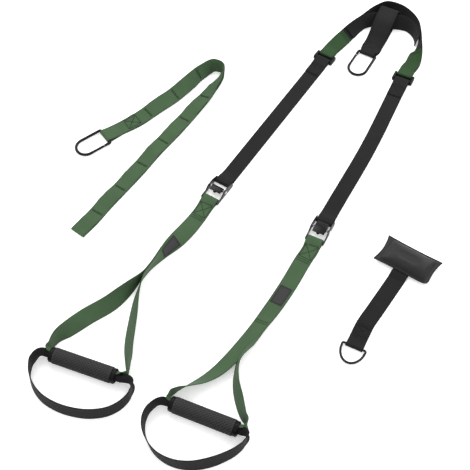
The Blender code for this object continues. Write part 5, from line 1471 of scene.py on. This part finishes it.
def frame_outline(inset=0.0):
    low = -BUCKLE_SPAN - BUCKLE_TAIL + inset
    crest = -PIVOT_DROP
    top = PLATE_HEIGHT - inset
    nose = BUCKLE_NOSE - inset
    foot = PLATE_FOOT + inset
    corners = [(low, foot), (nose, foot), (nose, PLATE_HEIGHT * PLATE_NOSE_SHARE - inset / 2),
               (crest / 2, top), (crest * PLATE_CREST_SHARE, top),
               (-BUCKLE_SPAN * PLATE_REAR_SHARE, PLATE_LOW_HEIGHT - inset),
               (low, PLATE_LOW_HEIGHT - inset)]
    return rounded(corners, TOP_BAR_RADIUS)


def buckle(side):
    """Side plates with raised cheeks, the bars, the cam, its pin, its knob and its spring."""
    leg = LEGS[side][0]
    pivot = side_place(leg, 0, -PIVOT_DROP, PIVOT_HEIGHT)
    pieces = []
    for sign in (-1, 1):
        middle = sign * (PLATE_INNER + PLATE_THICKNESS / 2)
        pieces.append(plate("cheek", frame_outline(), PLATE_THICKNESS, "gun_metal",
                            side_place(leg, middle, 0, 0), PLATE_THICKNESS * PLATE_EDGE_SHARE))
        spine = [(x, y, 0) for x, y in frame_outline(PLATE_THICKNESS)]
        pieces.append(tube("cheek_rim", spine, PLATE_THICKNESS * PLATE_RIM_SHARE, "gun_metal",
                           closed=True, sides=8, place=side_place(leg, sign * PLATE_OUTER, 0, 0)))
    for radius, up_leg, height in ((TOP_BAR_RADIUS, 0, TOP_BAR_HEIGHT),
                                   (BOTTOM_BAR_RADIUS, -BUCKLE_SPAN, BOTTOM_BAR_HEIGHT)):
        reach = PLATE_OUTER - PLATE_THICKNESS / 3
        points = [(x, up_leg, height) for x in np.linspace(-reach, reach, 9)]
        pieces.append(tube("cross_bar", points, radius, "gun_metal", place=leg))
    body = join(f"buckle_body_{side}", pieces)
    dress(body, "gun_metal", f"buckle_{side}", f"buckle_frame_{side}")

    shoulder = PLATE_OUTER + CLEARANCE
    top = shoulder + PIVOT_HEAD
    crown = [(PIVOT_HEAD_RADIUS * width, top - PIVOT_HEAD * drop) for width, drop in PIVOT_CROWN]
    crown += [(PIVOT_HEAD_RADIUS, shoulder), (PIVOT_RADIUS, shoulder)]
    profile = crown + [(radius, -height) for radius, height in crown[::-1]]
    pin = lathe(f"buckle_pin_{side}", profile, "spring_steel", pivot)
    dress(pin, "spring_steel", f"buckle_{side}", f"cam_pin_{side}")

    cam = plate("cam_blank", cam_outline(side), CAM_WIDTH, "black_steel", pivot,
                CAM_TOOTH_DEPTH * CAM_EDGE_SHARE)
    knob_place = -PIVOT_DROP - CAM_LIPS[side]
    knob_low = PIVOT_HEIGHT + CAM_HUB_RADIUS - CAM_LIP_THICKNESS
    size, rise = (CAM_LIP_THICKNESS * share for share in CAM_KNOB_SHARES)
    dome = [(size * width, rise * height) for width, height in CAM_KNOB]
    knob = lathe("cam_knob", dome, "black_steel", moved(leg, 0, knob_place, knob_low))
    pieces = [cam, knob]
    for sign in (-1, 1):
        points = [(sign * CAM_WIDTH * share, -PIVOT_DROP, PIVOT_HEIGHT) for share in CAM_BOSS]
        pieces.append(tube("cam_boss", points, CAM_HUB_RADIUS * CAM_BOSS_SHARE, "black_steel",
                           place=leg))
    lever = join(f"cam_{side}", pieces)
    dress(lever, "black_steel", f"cam_{side}", f"cam_lever_{side}")

    wire = spring_points()
    wire += [(-x, y, z) for x, y, z in wire[::-1]]
    spring = tube(f"spring_{side}", wire, SPRING_WIRE, "spring_steel", sides=10, up=(0.2, 0.3, 1),
                  place=moved(leg, 0, -PIVOT_DROP, PIVOT_HEIGHT))
    dress(spring, "spring_steel", f"cam_{side}", f"cam_spring_{side}")


def cam_outline(side):
    """The lever's side view about its pivot: toothed nose, hub and thumb lip."""
    to_bar = Vector((PIVOT_DROP, TOP_BAR_HEIGHT - PIVOT_HEIGHT))
    aim = math.degrees(math.atan2(to_bar.y, to_bar.x))
    if side == "right":
        reach = to_bar.length - TOP_WRAP_RADIUS - WEB_THICKNESS / 2 - CAM_BITE_GAP
        first, last = aim - AROUND / 36, aim + AROUND / 18
    else:
        reach = CAM_HUB_RADIUS + CAM_TOOTH_DEPTH
        first, last = -AROUND / 6, AROUND * 2 / 9
    outline = []
    steps = CAM_TEETH * 2
    for step in range(steps + 1):
        angle = math.radians(first + (last - first) * step / steps)
        radius = reach - (CAM_TOOTH_DEPTH if step % 2 == 0 else 0.0)
        outline.append((radius * math.cos(angle), radius * math.sin(angle)))
    lip = CAM_LIPS[side]
    lip_top = CAM_HUB_RADIUS + CAM_TOOTH_DEPTH
    crown = [(CAM_HUB_RADIUS * x, CAM_HUB_RADIUS * y) for x, y in CAM_CROWN_SHARES]
    outline += crown if side == "right" else crown[1:]
    outline.append((-lip * CAM_LIP_SHARE, lip_top))
    outline.append((-lip, lip_top - CAM_TOOTH_DEPTH))
    near, far = (lip_top - CAM_LIP_THICKNESS * share for share in CAM_LIP_DROPS)
    outline += [(-lip - CAM_LIP_THICKNESS / 3, near), (-lip, far)]
    start, end = (AROUND * share for share in CAM_HUB_ARC)
    for angle in np.radians(np.linspace(start, end, CAM_HUB_STEPS)):
        outline.append((CAM_HUB_RADIUS * math.cos(angle), CAM_HUB_RADIUS * math.sin(angle)))
    return outline


def spring_points():
    """Half of the double torsion spring: a leg on the plate, a coil and the bridge's end."""
    outer = PLATE_INNER - CLEARANCE - SPRING_WIRE
    coil_width = SPRING_TURNS * SPRING_SPACING
    points = [(outer, -SPRING_LEG * 0.45, -SPRING_RADIUS - SPRING_WIRE * 2),
              (outer, -SPRING_LEG * 0.1, -SPRING_RADIUS)]
    steps = round(SPRING_TURNS * 28)
    for step in range(steps + 1):
        share = step / steps
        angle = math.radians(-QUARTER + AROUND * SPRING_TURNS * share)
        points.append((outer - coil_width * share, SPRING_RADIUS * math.cos(angle),
                       SPRING_RADIUS * math.sin(angle)))
    inner = outer - coil_width
    lip = CAM_HUB_RADIUS - CAM_LIP_THICKNESS - SPRING_WIRE
    points.append((inner, -SPRING_LEG * 0.5, lip + SPRING_WIRE))
    points.append((inner, -SPRING_LEG, lip))
    return points


# Handles

def handle(side):
    leg_handle = handle_frame(side)
    body = f"handle_{side}"
    rows, eye = handle_rows(side)
    strip = Strip(rows, leg_handle)
    bar = strip.travelled[len(rows) - 1 - eye]
    face = face_up(strip, bar - BOX_START)
    half = WEB_WIDTH / 2 - SEAM_INSET
    lines = box_lines(bar - BOX_END, bar - BOX_START, half)
    lines += bar_lines((bar - BOX_END - BAR_STEP, bar - BOX_END - BAR_STEP * 2), half)
    if side == "right":
        lines += bar_lines((bar - SPLIT_BARS, bar - SPLIT_BARS - BAR_STEP), half)
    relief = both(pinch(lines, face), ripple(41 if side == "left" else 43))
    strap(f"handle_webbing_{side}", strip, "green_webbing", relief, body,
          f"handle_strap_{side}")
    seams(f"handle_seams_{side}", strip, lines, "green_thread", body, face)

    strip = Strip(label_rows(side), leg_handle, thickness=LABEL_THICKNESS)
    width = WEB_WIDTH - LABEL_INSET * 2
    face = face_up(strip, strip.length / 2)
    rim = width / 2 - LABEL_SEAM
    lines = box_lines(LABEL_SEAM, strip.length - LABEL_SEAM, rim, cross=False)
    relief = pinch(lines, face, depth=LABEL_THICKNESS * LABEL_PINCH_SHARE)
    strap(f"label_{side}", strip, "label_cloth", relief, body, f"handle_label_{side}")
    seams(f"label_seams_{side}", strip, lines, "label_thread", body, face)

    strip = Strip(loop_rows(side), leg_handle, ring=True)
    strap(f"loop_webbing_{side}", strip, "black_webbing", ripple(53), f"foot_loop_{side}",
          f"foot_loop_{side}")
    grip(side)


def mark_groove_shade(foam, place):
    """Store how deep each point lies in the knurl, for the painted shade in the foam's grooves."""
    depths = []
    back = place.inverted()
    for vert in foam.data.vertices:
        spot = back @ vert.co
        depths.append((GRIP_RADIUS - math.hypot(spot.x, spot.y)) / KNURL_DEPTH)
    foam.data.attributes.new("groove", "FLOAT", "POINT").data.foreach_set("value", depths)


def grip(side):
    """Knurled foam sleeve, plastic core tube and two grooved collars."""
    turn = Matrix.Rotation(math.radians(QUARTER), 4, "Y")
    place = handle_frame(side) @ grip_frame(side) @ turn
    body = f"grip_{side}"
    half = GRIP_LENGTH / 2 - COLLAR_LENGTH - CLEARANCE
    bore = GRIP_CORE_RADIUS + CLEARANCE
    inner = GRIP_RADIUS - GRIP_ROUND
    end = [(bore, half), (inner, half)]
    for angle in np.radians((60, 30)):
        end.append((inner + GRIP_ROUND * math.cos(angle),
                    half - GRIP_ROUND + GRIP_ROUND * math.sin(angle)))
    outer = end + [(GRIP_RADIUS, height) for height in
                   np.linspace(half - GRIP_ROUND, GRIP_ROUND - half, KNURL_ROWS)]
    outer += [(radius, -height) for radius, height in end[::-1]]

    def knurl(angle, radius, height):
        if radius < GRIP_RADIUS - MERGE_REACH:
            return 0.0
        wind = height / KNURL_PITCH
        first = abs(math.sin(angle * KNURL_STARTS / 2 + wind * math.pi))
        second = abs(math.sin(angle * KNURL_STARTS / 2 - wind * math.pi))
        fade = min((half - abs(height)) / (GRIP_ROUND * 2), 1.0)
        sunk = (1 - min(first, second * KNURL_LEAN)) ** KNURL_SLOPE
        return -KNURL_DEPTH * sunk * max(fade, 0.0)

    foam = lathe(f"foam_{side}", outer, "grip_foam", place, steps=KNURL_STEPS, relief=knurl)
    mark_groove_shade(foam, KIT @ place)
    dress(foam, "grip_foam", body, f"grip_foam_{side}")
    lip = GRIP_CORE_LIP / 2
    core_half = GRIP_LENGTH / 2 + GRIP_CORE_LIP
    section = [(GRIP_BORE_RADIUS, core_half - lip / 2), (GRIP_BORE_RADIUS + lip / 2, core_half),
               (GRIP_CORE_RADIUS - lip, core_half), (GRIP_CORE_RADIUS, core_half - lip)]
    section += [(radius, -height) for radius, height in section[::-1]]
    core = lathe(f"core_{side}", section, "black_plastic", place)
    dress(core, "black_plastic", body, f"grip_core_{side}")
    for name, sign in (("near", -1), ("far", 1)):
        middle = moved(place, 0, 0, sign * (GRIP_LENGTH - COLLAR_LENGTH) / 2)
        reach = COLLAR_LENGTH / 2
        groove = COLLAR_RADIUS - lip
        ridge, bed = (reach * share for share in COLLAR_GROOVE_SHARES)
        profile = [(bore, reach), (groove, reach), (COLLAR_RADIUS, reach - lip),
                   (COLLAR_RADIUS, ridge), (groove, bed)]
        profile += [(radius, -height) for radius, height in profile[::-1]]
        collar = lathe(f"collar_{name}_{side}", profile, "black_plastic", middle)
        dress(collar, "black_plastic", body, f"grip_collar_{name}_{side}")


# Carabiners and the ring

def arc_points(centre, radius, start, end, steps=CORNER_ARC_STEPS):
    x, y = centre
    angles = np.radians(np.linspace(start, end, steps + 1))
    return [(x + radius * math.cos(angle), y + radius * math.sin(angle), 0) for angle in angles]


def between(start, end, count):
    """Evenly spread values that leave both ends out."""
    return np.linspace(start, end, count + 2)[1:-1]


def carabiner_frame(place, turn):
    """The carabiner's frame at its bar, tipped so that its round end rests on the floor."""
    tip = math.asin((ROD_HEIGHT - ROD_RADIUS) / (CARABINER_LENGTH - ROD_RADIUS))
    return moved(floor_frame(place, turn), 0, 0, ROD_HEIGHT) @ Matrix.Rotation(tip, 4, "X")


def carabiner(name, place, turn, hand, body, gate_body):
    """Forged body with its hinge tongue and nose, the slotted gate and its rivet."""
    spot = carabiner_frame(place, turn) @ Matrix.Scale(-hand, 4, (1, 0, 0))
    half = CARABINER_WIDTH / 2 - ROD_RADIUS
    end = CARABINER_LENGTH - ROD_RADIUS - half
    pivot_y = -GATE_START - GATE_PIVOT
    nose_y = -GATE_START - GATE_LENGTH - CLEARANCE
    points = [(-half, -GATE_START, 0), (-half, -GATE_START + ROD_RADIUS / 4, 0)]
    corner = half - CARABINER_CORNER
    points += arc_points((-corner, -CARABINER_CORNER), CARABINER_CORNER, AROUND / 2, QUARTER)
    points += [(x, 0, 0) for x in between(-corner, corner, 7)]
    points += arc_points((corner, -CARABINER_CORNER), CARABINER_CORNER, QUARTER, 0)
    points += [(half, y, 0) for y in between(-CARABINER_CORNER, -end, 7)]
    points += arc_points((0, -end), half, 0, -AROUND / 2, 48)
    points += [(-half, nose_y - ROD_RADIUS / 4, 0), (-half, nose_y, 0)]
    radii = [ROD_RADIUS] * len(points)
    radii[0] = radii[-1] = ROD_RADIUS * ROD_END_SHARE
    rod = tube("rod", points, radii, "black_steel", place=spot)
    tongue = block("tongue", (-half - GATE_RADIUS, pivot_y - GATE_RADIUS, -GATE_TONGUE / 2),
                   (-half + GATE_RADIUS, -GATE_START + ROD_RADIUS, GATE_TONGUE / 2),
                   "black_steel", spot, GATE_TONGUE * TONGUE_EDGE_SHARE)
    obj = join(f"{name}_forging", [rod, tongue])
    dress(obj, "black_steel", body, f"{name}_body")

    slot_end = pivot_y - GATE_RADIUS * math.sqrt(2) - CLEARANCE
    slot_half = GATE_TONGUE / 2 + CLEARANCE
    gate_top = -GATE_START - GATE_END_GAP
    gate_low = nose_y + CLEARANCE
    slim, first = GATE_EDGE_SHARES
    stations = [(gate_low, slim)]
    for share in (first, *GATE_SHARES, 1):
        stations.append((gate_low + (slot_end - gate_low) * share, 1.0))
    pieces = [tube("shank", [(-half, y, 0) for y, _ in stations],
                   [GATE_RADIUS * share for _, share in stations], "black_steel", place=spot)]
    for sign in (-1, 1):
        pieces.append(half_round("fork", GATE_RADIUS, slot_half, sign, -half, slot_end - CLEARANCE,
                                 gate_top, spot))
    gate = join(f"{name}_gate_bar", pieces)
    dress(gate, "black_steel", gate_body, f"{name}_gate")

    reach = GATE_RADIUS * RIVET_REACH_SHARE
    head = GATE_PIN_RADIUS * RIVET_HEAD_SHARE
    points = [(-half, pivot_y, reach * share) for share in RIVET_SHARES]
    radii = [GATE_PIN_RADIUS, head, GATE_PIN_RADIUS] * 2
    rivet = tube(f"{name}_rivet", points, radii, "spring_steel", up=(0, 1, 0), place=spot)
    dress(rivet, "spring_steel", body, f"{name}_pin")


def half_round(name, radius, flat, sign, x, y_from, y_to, place):
    """One prong of the gate's fork: a round bar with its inner side cut flat."""
    limit = math.acos(flat / radius)
    section = []
    for angle in np.linspace(-limit, limit, 15):
        section.append((radius * math.sin(angle), sign * radius * math.cos(angle)))
    verts = []
    edge, slim = PRONG_END_SHARES
    stations = ((y_from, 1.0), (y_to - radius * edge, 1.0), (y_to, slim))
    for y, share in stations:
        verts += [(x + across * share, y, height * (share if abs(height) > flat else 1.0))
                  for across, height in section]
    faces = ring_faces(len(stations), len(section))
    obj = solid(name, verts, faces, "black_steel", angle=PLATE_ANGLE)
    obj.data.transform(KIT @ place)
    return obj


def ring():
    """A D-ring: a straight bar in the strap's fold, a bow beyond it and a closed weld."""
    spot = moved(floor_frame(DOOR_RING_PLACE, DOOR_RING_TURN), 0, 0, RING_HEIGHT)
    spot = spot @ Matrix.Rotation(math.asin((RING_HEIGHT - RING_WIRE) / RING_DEPTH), 4, "X")
    half = RING_WIDTH / 2 - RING_WIRE
    corner = half - RING_CORNER
    points = arc_points((corner, -RING_CORNER), RING_CORNER, QUARTER, 0)
    shoulder = RING_DEPTH - RING_WIRE - RING_CORNER
    for angle in np.radians(np.linspace(-AROUND / 24, -AROUND * 11 / 24, 49)):
        points.append((half * math.cos(angle), -RING_CORNER + shoulder * math.sin(angle), 0))
    points += arc_points((-corner, -RING_CORNER), RING_CORNER, AROUND / 2, QUARTER)
    radii = [RING_WIRE] * len(points)
    points += [(x, 0, 0) for x in between(-corner, corner, len(RING_WELD))]
    radii += [RING_WIRE * share for share in RING_WELD]
    obj = tube("ring_bow", points, radii, "dark_chrome", closed=True, place=spot)
    dress(obj, "dark_chrome", "door_ring", "door_ring")


# Equalizer, anchor strap, extension and door anchor

def equalizer():
    strip = Strip(floor_rows(equalizer_knots()))
    strap("equalizer_webbing", strip, "black_webbing", ripple(61), "equalizer",
          "equalizer_band")
    strip = Strip(lining_rows())
    end = strip.length
    half = WEB_WIDTH / 2 - SEAM_INSET
    lines = box_lines(end - BAR_STEP * 4, end - SEAM_INSET, half)
    strap("lining_webbing", strip, "black_webbing", ripple(67), "equalizer",
          "equalizer_lining")
    for index, face in enumerate((-1, 1)):
        seams(f"lining_seams_{index + 1}", strip, lines, "black_thread", "equalizer", face)

    strip = Strip(anchor_rows(), floor_frame(CARABINER_PLACE))
    start = strip.length - AT_ANCHOR_SEAM
    end = strip.length - AT_ANCHOR_SEAM + ANCHOR_SEAM_REACH
    face = face_up(strip, (start + end) / 2)
    lines = box_lines(start, end, ANCHOR_WEB_WIDTH / 2 - SEAM_INSET)
    relief = both(pinch(lines, face), ripple(71))
    strap("anchor_webbing", strip, "black_webbing", relief, "equalizer", "anchor_strap")
    seams("anchor_seams", strip, lines, "black_thread", "equalizer", face)


def extension():
    rows, upper_end = extension_rows()
    strip = Strip(rows, floor_frame(EXTENSION_PLACE))
    top = strip.travelled[upper_end]
    face = face_up(strip, top * 0.15)
    half = WEB_WIDTH * EXTENSION_SEAM_SHARE
    apart = THREAD_RADIUS * EXTENSION_PAIR_SHARE
    lines = []
    reach = STITCH_SPACING
    while reach < top - STITCH_SPACING / 4:
        lines += bar_lines((top - reach - apart, top - reach + apart), half)
        reach += STITCH_SPACING
    start, end = (top - STITCH_SPACING * share for share in EXTENSION_BOX_SHARES)
    lines += box_lines(start, end, half)

    def swell(u, v, side):
        """The edges of the upper layer stand up a little between the seams."""
        phase = np.sin(math.pi * (top - u) / STITCH_SPACING) ** 2
        rim = np.abs(v) / (WEB_WIDTH / 2)
        is_upper = np.clip((top - u) / BAR_STEP, 0, 1)
        return face * is_upper * EDGE_LIFT * phase * rim ** 2 * np.sin(u * math.tau / EDGE_WAVE)

    deeper, wider = EXTENSION_PINCH_SHARES
    sewn = pinch(lines, face, depth=PINCH_DEPTH * deeper, spread=PINCH_SPREAD * wider)
    relief = both(sewn, swell, ripple(83))
    strap("extension_webbing", strip, "green_webbing", relief, "extension", "extension_strap")
    seams("extension_seams", strip, lines, "green_thread", "extension", face)


def door_anchor():
    strip = Strip(door_strap_rows(), floor_frame(DOOR_RING_PLACE, DOOR_RING_TURN))
    end = strip.length
    face = face_up(strip, end - DOOR_FOLD / 2)
    half = DOOR_STRAP_WIDTH / 2 - SEAM_INSET
    lines = bar_lines((end - SEAM_INSET, end - SEAM_INSET - BAR_STEP), half)
    bar = end - DOOR_FOLD * DOOR_BAR_SHARE
    lines += bar_lines((bar, bar - BAR_STEP), half)
    lines += box_lines(end - DOOR_FOLD * DOOR_BOX_SHARE, end - SEAM_INSET * 2, half)
    relief = both(pinch(lines, face), ripple(89))
    strap("door_webbing", strip, "black_webbing", relief, "door_anchor", "door_strap")
    seams("door_seams", strip, lines, "black_thread", "door_anchor", face)
    pad()
    ring()


def pad_place(across, up, seam, rise):
    """A point of the pad from shares of its half width and half length."""
    half_x, half_y = pad_halves(across, up)
    tuck = 1 - PAD_TUCK_SHARE * (max(across, 0) * max(-up, 0)) ** PAD_TUCK_POWER
    return across * half_x * tuck, up * half_y * tuck, seam + rise


def pad_halves(across, up):
    """The pad's half length and half width there: its sides are drawn in between the corners."""
    return (PAD_LENGTH / 2 * (1 - PAD_DRAW_SHARES[0] * (1 - up ** 2)),
            PAD_WIDTH / 2 * (1 - PAD_DRAW_SHARES[1] * (1 - across ** 2)))


def pad():
    """A stuffed pad: two panels blown up between their seams, with a flat sewn hem."""
    place = floor_frame(DOOR_PAD_PLACE, DOOR_PAD_TURN)
    seam = PAD_BASE_CROWN + PAD_RIM - PAD_FLAT
    columns, lines = PAD_GRID
    power_x, power_y = PAD_SWELL_POWERS
    verts, faces, pinned = [], [], []
    index = {}
    for sign in (1, -1):
        for row in range(lines + 1):
            for column in range(columns + 1):
                across, up = column / columns * 2 - 1, row / lines * 2 - 1
                is_rim = column in (0, columns) or row in (0, lines)
                if is_rim and sign < 0:
                    index[sign, column, row] = index[1, column, row]
                    continue
                swell = math.sqrt(max(1 - (abs(across) / PAD_EDGE_SHARE) ** power_x, 0)
                                  * max(1 - (abs(up) / PAD_EDGE_SHARE) ** power_y, 0))
                crown = PAD_CROWN if sign > 0 else PAD_BASE_CROWN
                filled = PAD_RIM * PAD_RIM_SHARE + crown * swell * PAD_START_SHARE
                rise = 0.0 if is_rim else sign * filled
                index[sign, column, row] = len(verts)
                verts.append(pad_place(across, up, seam, rise))
                if max(abs(across), abs(up)) > PAD_EDGE_SHARE:
                    pinned.append(len(verts) - 1)
    for sign in (1, -1):
        for row in range(lines):
            for column in range(columns):
                corners = [index[sign, column, row], index[sign, column + 1, row],
                           index[sign, column + 1, row + 1], index[sign, column, row + 1]]
                faces.append(tuple(corners if sign > 0 else corners[::-1]))
    obj = solid("pad_cover", verts, faces, "pad_fabric")
    blow_up(obj, pinned)
    shape_pad(obj, seam)
    obj.data.transform(KIT @ place)
    dress(obj, "pad_fabric", "door_anchor", "door_pad")
    piping(place, seam)


def blow_up(obj, pinned):
    """Fill the cover by a short cloth simulation with its hem held, then keep its shape."""
    before = [vert.co.copy() for vert in obj.data.vertices]
    group = obj.vertex_groups.new(name="hem")
    group.add(pinned, 1.0, "REPLACE")
    cloth = obj.modifiers.new("filling", "CLOTH")
    settings = cloth.settings
    settings.use_pressure = True
    settings.uniform_pressure_force = PAD_PRESSURE
    settings.vertex_group_mass = "hem"
    settings.effector_weights.gravity = 0.0
    settings.quality = 6
    scene = bpy.context.scene
    for step in range(1, PAD_STEPS + 1):
        scene.frame_set(step)
    shown = obj.evaluated_get(bpy.context.evaluated_depsgraph_get())
    after = [vert.co.copy() for vert in shown.data.vertices]
    obj.modifiers.remove(cloth)
    scene.frame_set(1)
    for vert, old, new in zip(obj.data.vertices, before, after):
        move = new - old
        if move.length > PAD_MOVE:
            move = move.normalized() * PAD_MOVE
        vert.co = old + move


def shape_pad(obj, seam):
    """Sewn border and puckers pressed into the filled cover, then one subdivision."""
    chance = random.Random(7)
    waves = [(chance.uniform(70, 190), chance.uniform(0, math.tau)) for _ in range(5)]
    half_x, half_y = PAD_LENGTH / 2, PAD_WIDTH / 2
    for vert in obj.data.vertices:
        across, up = vert.co.x / half_x, vert.co.y / half_y
        edge_x, edge_y = pad_halves(across, up)
        to_edge = min(edge_x - abs(vert.co.x), edge_y - abs(vert.co.y))
        along = vert.co.x if abs(up) > abs(across) else vert.co.y
        pucker = sum(math.sin(along * pace + start) for pace, start in waves) / len(waves)
        near = math.exp(-((to_edge - PAD_HEM_SHARE * half_x) / (half_y * PAD_PUCKER_SHARE)) ** 2)
        height = vert.co.z - seam
        sign = 1 if height > 0 else -1
        if abs(height) > PAD_RIM / 2:
            vert.co.z += sign * PAD_PUCKER * pucker * near
        vert.co.z = max(vert.co.z, 0.0)
    subdivide(obj)


def subdivide(obj):
    """Subdivide the mesh once and keep the result."""
    change = obj.modifiers.new("fine", "SUBSURF")
    change.levels = 1
    shown = obj.evaluated_get(bpy.context.evaluated_depsgraph_get())
    mesh = bpy.data.meshes.new_from_object(shown)
    obj.modifiers.remove(change)
    obj.data = mesh
    mesh.shade_smooth()


def piping(place, seam):
    """The rolled edge of the pad."""
    points = []
    for index in range(PIPING_POINTS):
        share = index / PIPING_POINTS * 4
        leg, part = int(share), (share - int(share)) * 2 - 1
        spots = ((part, -1), (1, part), (-part, 1), (-1, -part))
        points.append(pad_place(*spots[leg], seam, 0.0))
    trim = tube("pad_piping", points, PAD_RIM * PIPING_SHARE, "pad_fabric", closed=True, sides=10,
                place=place)
    dress(trim, "pad_fabric", "door_anchor")


# Stage: floor, lights and camera

def add_floor():
    mesh = bpy.data.meshes.new("floor")
    signs = ((-1, -1), (1, -1), (1, 1), (-1, 1))
    corners = [(x * FLOOR_REACH, y * FLOOR_REACH, 0) for x, y in signs]
    mesh.from_pydata(corners, [], [(0, 1, 2, 3)])
    floor = link("floor", mesh)
    material, tree, shader = new_look("paper")
    dark, light = FLOOR_TONES
    tone = ramp(tree, noise_of(tree, CREASE_SCALE), ((0.0, (dark,) * 3), (1.0, (light,) * 3)))
    tree.links.new(tone, shader.inputs["Base Color"])
    set_inputs(shader, {"Roughness": 0.9, "Specular IOR Level": 0.1,
                        "Emission Color": (*WHITE, 1), "Emission Strength": FLOOR_GLOW})
    mesh.materials.append(material)


def aimed(name, data, place, aim):
    """A light or camera at a place, turned towards its aim."""
    obj = link(name, data)
    obj.location = place
    obj.rotation_euler = (Vector(aim) - Vector(place)).to_track_quat("-Z", "Y").to_euler()
    return obj


def add_light(name, place, size, power):
    data = bpy.data.lights.new(name, "AREA")
    data.shape = "RECTANGLE"
    data.size, data.size_y = size
    data.energy = power
    aimed(name, data, place, LIGHTS_AIM)


def add_camera():
    data = bpy.data.cameras.new("camera")
    data.lens = CAMERA_LENS
    bpy.context.scene.camera = aimed("camera", data, CAMERA_PLACE, CAMERA_AIM)


def set_stage():
    add_camera()
    add_floor()
    world = bpy.data.worlds.new("studio")
    world.use_nodes = True
    background = world.node_tree.nodes["Background"]
    set_inputs(background, {"Color": (*WHITE, 1), "Strength": WORLD_STRENGTH})
    bpy.context.scene.world = world
    for light in LIGHTS:
        add_light(*light)
    view = bpy.context.scene.view_settings
    view.view_transform = "Standard"
    view.look = "None"


def main():
    set_stage()
    for side in SIDES:
        leg_webbing(side)
        tab(side)
        slide_buckle(side)
        buckle(side)
        handle(side)
    equalizer()
    carabiner("anchor_carabiner", CARABINER_PLACE, 0.0, -1, "anchor_carabiner", "anchor_gate")
    carabiner("extension_carabiner", EXTENSION_PLACE, EXTENSION_TURN, 1, "extension_carabiner",
              "extension_gate")
    extension()
    door_anchor()


main()
